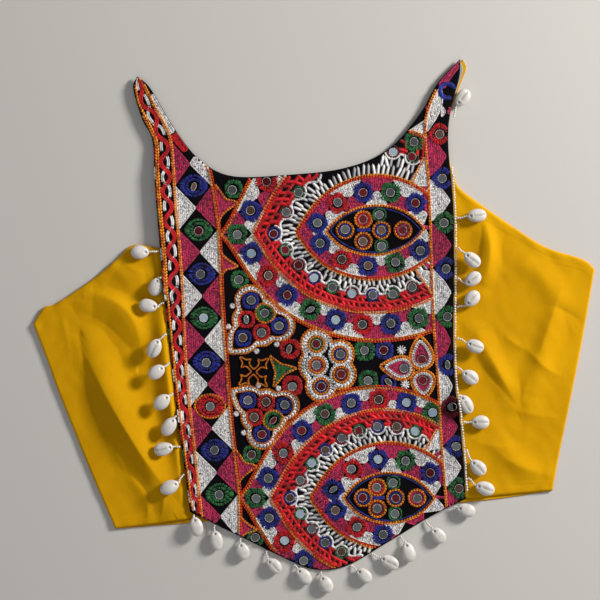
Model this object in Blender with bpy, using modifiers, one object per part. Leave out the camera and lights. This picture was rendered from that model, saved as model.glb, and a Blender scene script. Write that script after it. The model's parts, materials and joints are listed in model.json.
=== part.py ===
"""Sleeveless choli blouse laid flat, its front uppermost.

A black embroidered front panel lies over yellow cotton front sides and a yellow cotton back. Cowrie
tassels on bead strings hang from the panel's sides and its rounded lower edge.

The blouse lies on the floor at z = 0 with +X to the right, +Y towards the neck and +Z up. Plan sizes
and heights are in millimetres here, and become metres where the meshes and curves are made.
"""

from typing import NamedTuple

import bpy
import numpy as np

MM = 0.001

# Cloth
COTTON_WALL = 1.0
PANEL_WALL = 1.6
LAYER_GAP = 0.3
BACK_TOP = COTTON_WALL
SIDE_FLOOR = BACK_TOP + LAYER_GAP
SIDE_TOP = SIDE_FLOOR + COTTON_WALL
PANEL_OVER_SIDES = SIDE_TOP + LAYER_GAP
PANEL_OVER_BACK = BACK_TOP + LAYER_GAP
PANEL_OVER_FLOOR = 0.3

# Panel drape
SAG_STARTS = 20.0
SAG_ENDS = 46.0
HEM_DROP = 18.0
NECK_LEVEL = 104.0
EDGE_LIFT_REACH = 11.0
LEFT_EDGE_LIFT = 2.2
RIGHT_EDGE_LIFT = 0.8
HEM_MARGIN = 1.5
SLOPE_ALLOWANCE = 1.2

# Trim
BEAD_RADIUS = 1.0
BEADED = (0.40, 0.93)
BEADED_STEPS = 34
STRING_RADIUS = 0.8
SHELL_LENGTH = 16.5
SHELL_WIDTH = 11.2
SHELL_HEIGHT = 6.0
SHELL_SIDES = 8
SHELL_STATIONS = (0.03, 0.14, 0.34, 0.58, 0.80, 0.93, 0.99)

# Nets of the draped pieces, in cells across and along
PANEL_CELLS = (26, 24)
SIDE_CELLS = (20, 22)
EDGE_STEPS = 14

# Edges in plan, as (x, y) points that a smooth line runs through
NECKLINE = [
    (-141.6, 200.8), (-131.0, 191.0), (-112.0, 159.2), (-92.0, 134.5), (-66.0, 121.0), (-20.0, 122.0),
    (25.0, 127.5), (59.0, 142.0), (84.0, 169.6), (99.5, 196.0), (117.2, 214.8),
]
PANEL_LEFT = [
    (-141.6, 200.8), (-144.8, 191.0), (-137.5, 166.0), (-129.4, 149.0), (-127.5, 115.0), (-123.2, 61.6),
    (-113.6, -34.4), (-99.2, -148.0),
]
PANEL_RIGHT = [
    (117.2, 214.8), (116.4, 200.0), (109.6, 173.6), (107.6, 146.0), (112.0, 85.6), (112.0, -30.0),
    (118.0, -86.0), (121.6, -137.6),
]
PANEL_LOWER = [
    (-99.2, -148.0), (-60.8, -167.2), (-16.0, -189.0), (5.0, -195.0), (28.0, -190.8), (58.0, -173.5),
    (96.0, -150.5), (121.6, -137.6),
]
LEFT_ARMHOLE = [
    (-225.0, 2.4), (-216.5, 15.5), (-206.0, 19.2), (-176.0, 39.2), (-158.0, 54.4), (-145.0, 65.6),
    (-124.0, 63.2), (-106.0, 63.0),
]
LEFT_SIDE = [(-225.0, 2.4), (-213.6, -27.2), (-203.5, -55.0), (-177.6, -119.2), (-159.2, -161.6)]
LEFT_HEM = [(-159.2, -161.6), (-126.0, -157.6), (-84.0, -151.6)]
LEFT_INNER = [(-106.0, 63.0), (-101.0, 15.0), (-93.0, -60.0), (-84.0, -151.6)]
RIGHT_ARMHOLE = [
    (225.0, 46.4), (215.2, 54.2), (185.6, 64.0), (157.6, 81.6), (128.8, 101.6), (115.0, 113.5),
    (109.5, 129.0), (97.0, 138.0),
]
RIGHT_SIDE = [(225.0, 46.4), (215.2, -9.6), (205.6, -58.4), (196.4, -103.0), (191.2, -131.2)]
RIGHT_HEM = [(191.2, -131.2), (160.0, -134.0), (104.0, -139.6)]
RIGHT_INNER = [(97.0, 138.0), (95.0, 70.0), (96.0, -40.0), (104.0, -139.6)]
BACK_HEM = [(-159.2, -161.9), (-99.0, -157.2), (0.0, -149.0), (120.0, -140.8), (191.2, -131.6)]
LEFT_STRAP = [(-139.5, 193.0), (-139.2, 178.0), (-131.5, 160.0), (-126.6, 148.0), (-124.0, 100.0), (-121.0, 66.0)]
RIGHT_STRAP = [(109.5, 129.0), (106.0, 150.0), (109.5, 172.5), (116.5, 192.0), (122.0, 207.0), (119.5, 214.4)]
BACK_NECK = [
    (119.5, 214.4), (108.0, 199.5), (88.0, 164.0), (60.0, 133.0), (20.0, 113.0), (-25.0, 107.0),
    (-68.0, 109.0), (-97.0, 126.0), (-117.0, 157.0), (-133.0, 187.0), (-139.5, 193.0),
]
LINING_OUTER = [(117.6, 213.4), (119.4, 205.0), (114.0, 189.0), (109.6, 176.0)]
LINING_INNER = [(109.6, 176.0), (106.5, 186.0), (112.5, 202.0), (117.6, 213.4)]


class Fold(NamedTuple):
    """One fold: the line of its crest, and how far it spreads to its left and right as it runs."""

    start: tuple
    bend: tuple
    end: tuple
    left_reach: float
    right_reach: float
    rise: float


LEFT_FOLDS = [
    Fold((-181, -15), (-158, -62), (-116, -142), 15, 12, 7.0),
    Fold((-182, 22), (-138, 22), (-141, -22), 8, 17, 4.5),
    Fold((-160, 46), (-148, 36), (-133, 40), 8, 10, 2.4),
    Fold((-150, -118), (-138, -128), (-128, -150), 5, 6, 1.8),
]
RIGHT_FOLDS = [
    Fold((133, 84), (146, 62), (134, 28), 7, 9, 3.6),
    Fold((128, -2), (146, -34), (160, -62), 9, 8, 3.4),
    Fold((196, 22), (184, -18), (172, -60), 10, 9, 3.2),
    Fold((148, -92), (158, -112), (186, -118), 8, 9, 2.2),
    Fold((160, 60), (188, 40), (204, 8), 9, 11, 2.4),
]


class Tassel(NamedTuple):
    """One shell on its string: how far along its edge the string leaves, the shell's middle and heading."""

    at: float
    shell_x: float
    shell_y: float
    heading: float


ON_LEFT_SIDE = [
    Tassel(0.406, -140.2, 59.8, 180),
    Tassel(0.466, -126.8, 31.2, 255),
    Tassel(0.523, -133.2, 17.2, 171),
    Tassel(0.595, -127.6, -17.2, 245),
    Tassel(0.661, -126.4, -36.4, 216),
    Tassel(0.730, -121.8, -60.2, 222),
    Tassel(0.780, -115.8, -79.6, 238),
    Tassel(0.850, -120.6, -97.4, 193),
    Tassel(0.913, -115.6, -128.0, 206),
]
AT_LOWER_EDGE = [
    Tassel(0.014, -94.2, -160.2, 281),
    Tassel(0.089, -78.4, -171.4, 278),
    Tassel(0.185, -57.0, -180.6, 285),
    Tassel(0.280, -31.4, -192.2, 317),
    Tassel(0.381, -8.0, -200.0, 310),
    Tassel(0.469, 9.6, -206.6, 299),
    Tassel(0.568, 40.8, -199.8, 320),
    Tassel(0.644, 60.6, -188.6, 332),
    Tassel(0.753, 75.6, -180.6, 284),
    Tassel(0.851, 100.2, -167.8, 312),
    Tassel(0.955, 122.4, -146.8, 345),
]
ON_RIGHT_SIDE = [
    Tassel(0.953, 137.2, -129.2, 342),
    Tassel(0.890, 131.8, -112.8, 317),
    Tassel(0.827, 134.2, -76.2, 0),
    Tassel(0.765, 121.6, -62.0, 300),
    Tassel(0.700, 125.8, -40.6, 325),
    Tassel(0.634, 129.6, -15.6, 338),
    Tassel(0.565, 127.0, 23.4, 50),
    Tassel(0.500, 127.8, 39.0, 36),
    Tassel(0.431, 126.8, 53.4, 320),
    Tassel(0.364, 131.0, 89.2, 5),
    Tassel(0.132, 119.4, 184.0, 52),
]


class TrimmedEdge(NamedTuple):
    """An edge of the panel with tassels: its line, the side it faces as it runs, and their clearance."""

    line: list
    faces: int
    clearance: float
    tassels: list


TRIMMED_EDGES = {
    "left": TrimmedEdge(PANEL_LEFT, -1, 1.2, ON_LEFT_SIDE),
    "lower": TrimmedEdge(PANEL_LOWER, -1, 1.2, AT_LOWER_EDGE),
    "right": TrimmedEdge(PANEL_RIGHT, 1, 2 * BEAD_RADIUS + 3 * LAYER_GAP, ON_RIGHT_SIDE),
}
TUCKED_SHELLS = (ON_LEFT_SIDE[1], ON_LEFT_SIDE[6], ON_RIGHT_SIDE[3])
PROP_RISE = 6.4
PROP_REACH = 12.0


def smooth_line(points, spots):
    """Points on a smooth line through the given ones, at spots that run from 0 to 1 along its length.

    Each span is a Catmull-Rom cubic, whose tangents are half the step between its neighbours.
    """
    knots = np.asarray(points, float)
    ends = np.vstack([2 * knots[0] - knots[1], knots, 2 * knots[-1] - knots[-2]])
    t = np.linspace(0, 1, 24, endpoint=False)[:, None]
    spans = []
    for a, b, c, d in zip(ends, ends[1:], ends[2:], ends[3:]):
        spans.append(b + t * (c - a) / 2 + t**2 * (a - 2.5 * b + 2 * c - d / 2) + t**3 * (d - 3 * c + 3 * b - a) / 2)
    line = np.vstack([*spans, knots[-1:]])
    length = np.concatenate([[0], np.cumsum(np.linalg.norm(np.diff(line, axis=0), axis=1))])
    along = np.asarray(spots) * length[-1]
    return np.stack([np.interp(along, length, line[:, i]) for i in range(2)], 1)


def even_line(points, steps):
    """Evenly spaced points on the smooth line through the given ones."""
    return smooth_line(points, np.linspace(0, 1, steps + 1))


def moved_out(points, spots, faces, distance):
    """Points on a smooth line, moved square to it: to its left as it runs if faces is 1, to its right if -1."""
    spots = np.asarray(spots)
    here = smooth_line(points, spots)
    run = smooth_line(points, np.clip(spots + 0.004, 0, 1)) - smooth_line(points, np.clip(spots - 0.004, 0, 1))
    square = np.stack([-run[:, 1], run[:, 0]], 1) / np.linalg.norm(run, axis=1)[:, None]
    return here + faces * distance * square


def spread_net(top, bottom, left, right):
    """A net of points inside four edges: the sum of the two ruled sheets less the blend of the corners.

    top and bottom run across and are alike in length, left and right run along and are alike in length.
    """
    u = np.linspace(0, 1, len(top))[None, :, None]
    v = np.linspace(0, 1, len(left))[:, None, None]
    across = (1 - v) * top[None] + v * bottom[None]
    along = (1 - u) * left[:, None] + u * right[:, None]
    corners = (1 - v) * ((1 - u) * top[0] + u * top[-1]) + v * ((1 - u) * bottom[0] + u * bottom[-1])
    return across + along - corners


def ease(value, low, high):
    """0 below low, 1 above high, and a smooth step between them."""
    t = np.clip((value - low) / (high - low), 0, 1)
    return t * t * (3 - 2 * t)


def panel_margins(x, y):
    """Distance in from the panel's left and from its right edge, which are nearly straight lines."""
    left = -129.0 + (140.0 - y) * 0.104
    right = 108.0 + (140.0 - y) * 0.049
    return x - left, right - x


def panel_underside(x, y):
    """Height of the panel's underside.

    It lies on the front sides at its own sides, sags onto the back in the middle, drops to the floor
    past the back's hem, lifts a little along its side edges and rides over the shells tucked under it.
    """
    from_left, from_right = panel_margins(x, y)
    margin = np.minimum(from_left, from_right)
    sag = ease(margin, SAG_STARTS, SAG_ENDS) * ease(NECK_LEVEL + 24.0 - y, 0, 24.0)
    height = PANEL_OVER_SIDES + (PANEL_OVER_BACK - PANEL_OVER_SIDES) * sag
    hem = np.interp(x, *zip(*BACK_HEM))
    dropped = ease(hem - 2.0 - y, 0, HEM_DROP)
    height = height + (PANEL_OVER_FLOOR - height) * dropped
    body = ease(150.0 - y, 0, 30.0) * (1 - dropped)
    height = height + LEFT_EDGE_LIFT * body * np.exp(-((from_left / EDGE_LIFT_REACH) ** 2))
    height = height + RIGHT_EDGE_LIFT * body * np.exp(-((from_right / EDGE_LIFT_REACH) ** 2))
    for tassel in TUCKED_SHELLS:
        away = np.hypot(x - tassel.shell_x, y - tassel.shell_y)
        height = height + PROP_RISE * np.exp(-((away / PROP_REACH) ** 4))
    return height


def fold_height(x, y, fold):
    """Height of one fold: its rise, fading with the distance from its crest and towards its two ends."""
    start, bend, end = (np.asarray(p, float) for p in (fold.start, fold.bend, fold.end))
    t = np.linspace(0, 1, 25)[:, None]
    crest = (1 - t) ** 2 * start + 2 * t * (1 - t) * bend + t**2 * end
    heading = np.gradient(crest, axis=0)
    off_x = x[..., None] - crest[:, 0]
    off_y = y[..., None] - crest[:, 1]
    nearest = np.argmin(off_x**2 + off_y**2, axis=-1)
    dx = np.take_along_axis(off_x, nearest[..., None], -1)[..., 0]
    dy = np.take_along_axis(off_y, nearest[..., None], -1)[..., 0]
    to_left = heading[nearest, 0] * dy - heading[nearest, 1] * dx > 0
    reach = np.where(to_left, fold.left_reach, fold.right_reach)
    fade = np.sin(np.pi * np.clip(nearest / 24, 0.06, 0.94)) ** 0.6
    return fold.rise * fade * np.exp(-(dx**2 + dy**2) / reach**2)


def side_underside(x, y, folds):
    """Height of a front side's underside: flat where the panel covers it, with its folds outside."""
    from_left, from_right = panel_margins(x, y)
    outside = ease(-np.minimum(from_left, from_right), -1.0, 7.0)
    rise = np.maximum.reduce([fold_height(x, y, fold) for fold in folds])
    return SIDE_FLOOR + outside * rise


def surface_below(x, y):
    """Height of what a tassel lies on: a front side and its folds, the back's hem or the floor."""
    folds = LEFT_FOLDS if np.mean(x) < 0 else RIGHT_FOLDS
    edges = (LEFT_ARMHOLE, LEFT_HEM) if np.mean(x) < 0 else (RIGHT_ARMHOLE, RIGHT_HEM)
    (armhole, hem) = (np.array(sorted(edge)) for edge in edges)
    above_hem = y > np.interp(x, hem[:, 0], hem[:, 1]) - HEM_MARGIN
    below_armhole = y < np.interp(x, armhole[:, 0], armhole[:, 1]) + HEM_MARGIN
    above_back_hem = y > np.interp(x, *zip(*BACK_HEM)) - HEM_MARGIN
    on_side = side_underside(x, y, folds) + COTTON_WALL * SLOPE_ALLOWANCE
    on_back = np.where(above_back_hem, BACK_TOP, 0.0)
    return np.where(above_hem & below_armhole, on_side, on_back)


def cotton(name, colour, roughness):
    """A plain cloth material."""
    material = bpy.data.materials.new(name)
    material.use_nodes = True
    shader = material.node_tree.nodes["Principled BSDF"]
    shader.inputs["Base Color"].default_value = (*colour, 1)
    shader.inputs["Roughness"].default_value = roughness
    shader.inputs["Metallic"].default_value = 0.0
    return material


def place(name, data, material, collection):
    """Put new mesh or curve data in the collection as a named object wearing one material."""
    data.materials.append(material)
    thing = bpy.data.objects.new(name, data)
    collection.objects.link(thing)
    return thing


def draped_sheet(name, net, underside, wall, material, collection):
    """A cloth wall: the net of plan points at its underside's height, thickened upwards."""
    rows, columns = net.shape[:2]
    height = underside(net[..., 0], net[..., 1])
    points = np.dstack([net, height]).reshape(-1, 3) * MM
    corner = (np.arange(rows - 1)[:, None] * columns + np.arange(columns - 1)).ravel()
    faces = np.stack([corner, corner + columns, corner + columns + 1, corner + 1], 1)
    before = net[1, 0] - net[0, 0]
    beside = net[0, 1] - net[0, 0]
    if before[0] * beside[1] - before[1] * beside[0] < 0:
        faces = faces[:, ::-1]
    mesh = bpy.data.meshes.new(name)
    mesh.from_pydata(points.tolist(), [], faces.tolist())
    mesh.validate()
    sheet = place(name, mesh, material, collection)
    shell = sheet.modifiers.new("wall", "SOLIDIFY")
    shell.thickness = wall * MM
    shell.offset = 1.0
    return sheet


def flat_sheet(name, outline, floor, wall, material, collection):
    """A flat cloth piece cut to an outline, its underside at the height floor."""
    curve = bpy.data.curves.new(name, "CURVE")
    curve.dimensions = "2D"
    curve.fill_mode = "BOTH"
    curve.extrude = wall * MM / 2
    edge = curve.splines.new("POLY")
    edge.points.add(len(outline) - 1)
    flat = np.zeros((len(outline), 4))
    flat[:, :2] = np.asarray(outline) * MM
    flat[:, 3] = 1
    edge.points.foreach_set("co", flat.ravel())
    edge.use_cyclic_u = True
    sheet = place(name, curve, material, collection)
    sheet.location.z = (floor + wall / 2) * MM
    return sheet


def joined_outline(*edges):
    """One closed outline from edges that follow each other, each shared end kept once."""
    return np.vstack([edge[:-1] for edge in edges])


def edge_cord(name, line, radius, material, collection):
    """A round cord along a line of (x, y, z) points."""
    curve = bpy.data.curves.new(name, "CURVE")
    curve.dimensions = "3D"
    curve.bevel_depth = radius * MM
    curve.bevel_resolution = 2
    curve.use_fill_caps = True
    path = curve.splines.new("POLY")
    path.points.add(len(line) - 1)
    spots = np.ones((len(line), 4))
    spots[:, :3] = np.asarray(line) * MM
    path.points.foreach_set("co", spots.ravel())
    return place(name, curve, material, collection)


def shell_level(tassel, forward):
    """Height of a shell's underside: just clear of the highest cloth under its oval."""
    along, across = np.meshgrid(np.linspace(-0.45, 0.45, 7), np.linspace(-0.4, 0.4, 5))
    x = tassel.shell_x + along * SHELL_LENGTH * forward[0] - across * SHELL_WIDTH * forward[1]
    y = tassel.shell_y + along * SHELL_LENGTH * forward[1] + across * SHELL_WIDTH * forward[0]
    return surface_below(x, y).max() + LAYER_GAP


def tassel_rings(tassel, edge):
    """Rings of points from the string's start to the shell's far tip.

    The string's rings are round. The shell's are flattened ovals, whose width follows half an ellipse
    that is fuller towards the far end.
    """
    turn = np.radians(tassel.heading)
    forward = np.array([np.cos(turn), np.sin(turn), 0.0])
    middle = np.array([tassel.shell_x, tassel.shell_y, shell_level(tassel, forward) + SHELL_HEIGHT / 2])
    tip = middle - forward * SHELL_LENGTH / 2
    start = np.append(moved_out(edge.line, [tassel.at], edge.faces, edge.clearance)[0], 0.0)
    start[2] = max(panel_underside(*start[:2]) + PANEL_WALL / 2, middle[2] - SHELL_HEIGHT / 2)
    run = tip - start
    lead = np.array([run[0], run[1], 0.0]) / np.hypot(run[0], run[1])
    stations = [
        (start, lead, STRING_RADIUS, STRING_RADIUS),
        (start + 0.8 * run, lead + forward, STRING_RADIUS, STRING_RADIUS),
    ]
    for t in SHELL_STATIONS:
        swell = np.sqrt(1 - (2 * t - 1) ** 2) * (0.94 + 0.12 * t)
        wide = max(SHELL_WIDTH / 2 * swell, STRING_RADIUS)
        tall = max(SHELL_HEIGHT / 2 * swell, STRING_RADIUS)
        stations.append((tip + forward * SHELL_LENGTH * t, forward, wide, tall))
    angle = np.linspace(0, 2 * np.pi, SHELL_SIDES, endpoint=False)
    rings = []
    for centre, heading, wide, tall in stations:
        across = np.array([-heading[1], heading[0], 0.0]) / np.hypot(heading[0], heading[1])
        ring = centre + np.outer(np.cos(angle) * wide, across)
        ring[:, 2] += np.sin(angle) * tall
        rings.append(ring)
    return np.array(rings)


def tassel_solid(name, tassel, edge, material, collection):
    """A closed solid of one string and its shell, lofted through the rings and capped at both ends."""
    rings = tassel_rings(tassel, edge)
    count, sides = rings.shape[:2]
    ring_start = np.arange(count - 1)[:, None] * sides
    here = np.arange(sides)
    after = (here + 1) % sides
    quads = np.stack([ring_start + here, ring_start + after, ring_start + sides + after, ring_start + sides + here], -1)
    faces = quads.reshape(-1, 4).tolist()
    faces.append(list(range(sides - 1, -1, -1)))
    faces.append(list(range((count - 1) * sides, count * sides)))
    mesh = bpy.data.meshes.new(name)
    mesh.from_pydata((rings.reshape(-1, 3) * MM).tolist(), [], faces)
    mesh.validate()
    mesh.shade_smooth()
    return place(name, mesh, material, collection)


def clear_scene():
    """Remove every object that the scene starts with."""
    for thing in list(bpy.data.objects):
        bpy.data.objects.remove(thing, do_unlink=True)


def build_back(cloth, collection):
    """The back: a flat piece with two shoulder straps, its neck scooped lower than the front's."""
    outline = joined_outline(
        even_line(LEFT_STRAP, EDGE_STEPS),
        even_line(LEFT_ARMHOLE[:-1], EDGE_STEPS)[::-1],
        even_line(LEFT_SIDE, EDGE_STEPS),
        even_line(BACK_HEM, EDGE_STEPS),
        even_line(RIGHT_SIDE, EDGE_STEPS)[::-1],
        even_line(RIGHT_ARMHOLE[:-1], EDGE_STEPS),
        even_line(RIGHT_STRAP, EDGE_STEPS),
        even_line(BACK_NECK, 2 * EDGE_STEPS),
    )
    flat_sheet("back_panel", outline, 0.0, COTTON_WALL, cloth, collection)


def build_front_side(name, edges, folds, cloth, collection):
    """One front side, from its outer seam to the strip that the panel is sewn over."""
    armhole, hem, side, inner = edges
    across, along = SIDE_CELLS
    net = spread_net(
        even_line(armhole, across), even_line(hem, across), even_line(side, along), even_line(inner, along)
    )
    draped_sheet(name, net, lambda x, y: side_underside(x, y, folds), COTTON_WALL, cloth, collection)


def build_panel(ground, collection):
    """The embroidered front panel, whose lower edge is set out in step with its neckline."""
    across, along = PANEL_CELLS
    neck = even_line(NECKLINE, across)
    spots = (neck[:, 0] - neck[0, 0]) / (neck[-1, 0] - neck[0, 0])
    net = spread_net(neck, smooth_line(PANEL_LOWER, spots), even_line(PANEL_LEFT, along), even_line(PANEL_RIGHT, along))
    draped_sheet("front_panel", net, panel_underside, PANEL_WALL, ground, collection)


def build_strap_lining(cloth, collection):
    """The pale lining that shows between the right shoulder's panel and its yellow strap."""
    outline = joined_outline(even_line(LINING_OUTER, EDGE_STEPS), even_line(LINING_INNER, EDGE_STEPS))
    flat_sheet("strap_lining_right", outline, SIDE_FLOOR, COTTON_WALL, cloth, collection)


def build_bead_edging(beads, collection):
    """The bead edging on the panel's right edge, moved out from that edge by its own radius."""
    spots = np.linspace(*BEADED, BEADED_STEPS)
    line = moved_out(PANEL_RIGHT, spots, 1, BEAD_RADIUS + LAYER_GAP)
    height = panel_underside(line[:, 0], line[:, 1]) + BEAD_RADIUS + LAYER_GAP
    edge_cord("bead_edging", np.column_stack([line, height]), BEAD_RADIUS, beads, collection)


def main():
    """Build the blouse in its own collection."""
    clear_scene()
    collection = bpy.data.collections.new("choli_blouse")
    bpy.context.scene.collection.children.link(collection)
    yellow = cotton("yellow_cotton", (0.70, 0.42, 0.005), 0.75)
    ground = cotton("embroidered_ground", (0.05, 0.02, 0.04), 0.80)
    lining = cotton("pale_lining", (0.55, 0.53, 0.50), 0.80)
    beads = cotton("white_beads", (0.80, 0.78, 0.74), 0.35)
    shell = cotton("cowrie_shell", (0.75, 0.73, 0.70), 0.40)
    build_back(yellow, collection)
    left_edges = (LEFT_ARMHOLE, LEFT_HEM, LEFT_SIDE, LEFT_INNER)
    right_edges = (RIGHT_ARMHOLE, RIGHT_HEM, RIGHT_SIDE, RIGHT_INNER)
    build_front_side("front_side_left", left_edges, LEFT_FOLDS, yellow, collection)
    build_front_side("front_side_right", right_edges, RIGHT_FOLDS, yellow, collection)
    build_panel(ground, collection)
    build_strap_lining(lining, collection)
    build_bead_edging(beads, collection)
    for edge_name, edge in TRIMMED_EDGES.items():
        for number, tassel in enumerate(edge.tassels, 1):
            tassel_solid(f"tassel_{edge_name}_{number:02d}", tassel, edge, shell, collection)


main()
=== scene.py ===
"""Looks for a sleeveless choli blouse laid flat: yellow cotton, mirror embroidery and cowrie tassels.

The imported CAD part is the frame. Plan sizes and heights are in millimetres here, with +X to the right,
+Y towards the neck and +Z up, and become metres where meshes are made. Wherever a function takes x and
y, they are places in plan, and where both are arrays it gives one value for each place.
"""

from __future__ import annotations

import json
import logging
from dataclasses import dataclass, field
from enum import Enum
from typing import NamedTuple, Sequence

import bpy
import numpy as np
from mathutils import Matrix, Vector

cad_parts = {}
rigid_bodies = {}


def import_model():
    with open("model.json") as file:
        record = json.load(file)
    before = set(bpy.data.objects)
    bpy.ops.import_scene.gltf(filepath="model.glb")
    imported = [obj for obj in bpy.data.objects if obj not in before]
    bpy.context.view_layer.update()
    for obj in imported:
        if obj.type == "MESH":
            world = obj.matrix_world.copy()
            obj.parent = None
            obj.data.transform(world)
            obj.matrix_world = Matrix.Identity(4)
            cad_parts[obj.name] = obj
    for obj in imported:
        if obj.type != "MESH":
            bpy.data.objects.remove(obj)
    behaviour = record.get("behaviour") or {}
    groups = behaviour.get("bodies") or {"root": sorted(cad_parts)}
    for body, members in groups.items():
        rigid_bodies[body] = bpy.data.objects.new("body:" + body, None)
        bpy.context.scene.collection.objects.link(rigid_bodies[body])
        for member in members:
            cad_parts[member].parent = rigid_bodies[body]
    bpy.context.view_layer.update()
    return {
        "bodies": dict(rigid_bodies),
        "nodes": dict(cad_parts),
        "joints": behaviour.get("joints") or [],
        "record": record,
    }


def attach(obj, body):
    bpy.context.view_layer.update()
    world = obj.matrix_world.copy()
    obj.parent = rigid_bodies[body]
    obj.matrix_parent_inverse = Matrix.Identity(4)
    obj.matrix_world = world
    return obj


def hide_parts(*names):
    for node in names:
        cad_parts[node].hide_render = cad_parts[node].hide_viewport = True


LOG = logging.getLogger("choli_blouse")
Array = np.ndarray
Piece = bpy.types.Object
Tree = bpy.types.NodeTree
Socket = bpy.types.NodeSocket
MM = 0.001
BAKE_MAP = "OFBake"

# Cloth, as the part lays it
COTTON_WALL = 1.0
PANEL_WALL = 1.6
LAYER_GAP = 0.3
BACK_TOP = COTTON_WALL
SIDE_FLOOR = BACK_TOP + LAYER_GAP
SIDE_TOP = SIDE_FLOOR + COTTON_WALL
PANEL_OVER_SIDES = SIDE_TOP + LAYER_GAP
PANEL_OVER_BACK = BACK_TOP + LAYER_GAP
PANEL_OVER_FLOOR = 0.3
SAG_STARTS = 20.0
SAG_ENDS = 46.0
HEM_DROP = 18.0
NECK_LEVEL = 104.0
EDGE_LIFT_REACH = 11.0
LEFT_EDGE_LIFT = 2.2
RIGHT_EDGE_LIFT = 0.8
HEM_MARGIN = 1.5
SLOPE_ALLOWANCE = 1.2
MARGIN_LEVEL = 140.0
LEFT_MARGIN = (-129.0, 0.104)
RIGHT_MARGIN = (108.0, 0.049)
CREST_STEPS = 24
CREST_ROUND = 0.7
CRISP_BELOW = 10.0
PROP_RISE = 6.4
PROP_REACH = 12.0

# Trim
BEAD_RADIUS = 1.0
BEAD_PITCH = 1.75
BEADED = (0.40, 0.93)
SHELL_LENGTH = 16.5
SHELL_WIDTH = 11.2
SHELL_HEIGHT = 6.0

# Edges in plan, as (x, y) points that a smooth line runs through
NECKLINE = [
    (-141.6, 200.8), (-131.0, 191.0), (-112.0, 159.2), (-92.0, 134.5), (-66.0, 121.0), (-20.0, 122.0),
    (25.0, 127.5), (59.0, 142.0), (84.0, 169.6), (99.5, 196.0), (117.2, 214.8),
]
PANEL_LEFT = [
    (-141.6, 200.8), (-144.8, 191.0), (-137.5, 166.0), (-129.4, 149.0), (-127.5, 115.0), (-123.2, 61.6),
    (-113.6, -34.4), (-99.2, -148.0),
]
PANEL_RIGHT = [
    (117.2, 214.8), (116.4, 200.0), (109.6, 173.6), (107.6, 146.0), (112.0, 85.6), (112.0, -30.0),
    (118.0, -86.0), (121.6, -137.6),
]
PANEL_LOWER = [
    (-99.2, -148.0), (-60.8, -167.2), (-16.0, -189.0), (5.0, -195.0), (28.0, -190.8), (58.0, -173.5),
    (96.0, -150.5), (121.6, -137.6),
]
LEFT_ARMHOLE = [
    (-225.0, 2.4), (-216.5, 15.5), (-206.0, 19.2), (-176.0, 39.2), (-158.0, 54.4), (-145.0, 65.6),
    (-124.0, 63.2), (-106.0, 63.0),
]
LEFT_SIDE = [(-225.0, 2.4), (-213.6, -27.2), (-203.5, -55.0), (-177.6, -119.2), (-159.2, -161.6)]
LEFT_HEM = [(-159.2, -161.6), (-126.0, -157.6), (-84.0, -151.6)]
LEFT_INNER = [(-106.0, 63.0), (-101.0, 15.0), (-93.0, -60.0), (-84.0, -151.6)]
RIGHT_ARMHOLE = [
    (225.0, 46.4), (215.2, 54.2), (185.6, 64.0), (157.6, 81.6), (128.8, 101.6), (115.0, 113.5),
    (109.5, 129.0), (97.0, 138.0),
]
RIGHT_SIDE = [(225.0, 46.4), (215.2, -9.6), (205.6, -58.4), (196.4, -103.0), (191.2, -131.2)]
RIGHT_HEM = [(191.2, -131.2), (160.0, -134.0), (104.0, -139.6)]
RIGHT_INNER = [(97.0, 138.0), (95.0, 70.0), (96.0, -40.0), (104.0, -139.6)]
BACK_HEM = [(-159.2, -161.9), (-99.0, -157.2), (0.0, -149.0), (120.0, -140.8), (191.2, -131.6)]
LEFT_STRAP = [
    (-139.5, 193.0), (-139.2, 178.0), (-131.5, 160.0), (-126.6, 148.0), (-124.0, 100.0), (-121.0, 66.0)
]
RIGHT_STRAP = [(109.5, 129.0), (106.0, 150.0), (109.5, 172.5), (116.5, 192.0), (122.0, 207.0), (119.5, 214.4)]
BACK_NECK = [
    (119.5, 214.4), (108.0, 199.5), (88.0, 164.0), (60.0, 133.0), (20.0, 113.0), (-25.0, 107.0),
    (-68.0, 109.0), (-97.0, 126.0), (-117.0, 157.0), (-133.0, 187.0), (-139.5, 193.0),
]
LINING_OUTER = [(117.6, 213.4), (119.4, 205.0), (114.0, 189.0), (109.6, 176.0)]
LINING_INNER = [(109.6, 176.0), (106.5, 186.0), (112.5, 202.0), (117.6, 213.4)]


class Fold(NamedTuple):
    """One fold: the line of its crest, its spread to either side as it runs, and its rise."""

    start: tuple[float, float]
    bend: tuple[float, float]
    end: tuple[float, float]
    left_reach: float
    right_reach: float
    rise: float


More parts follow.
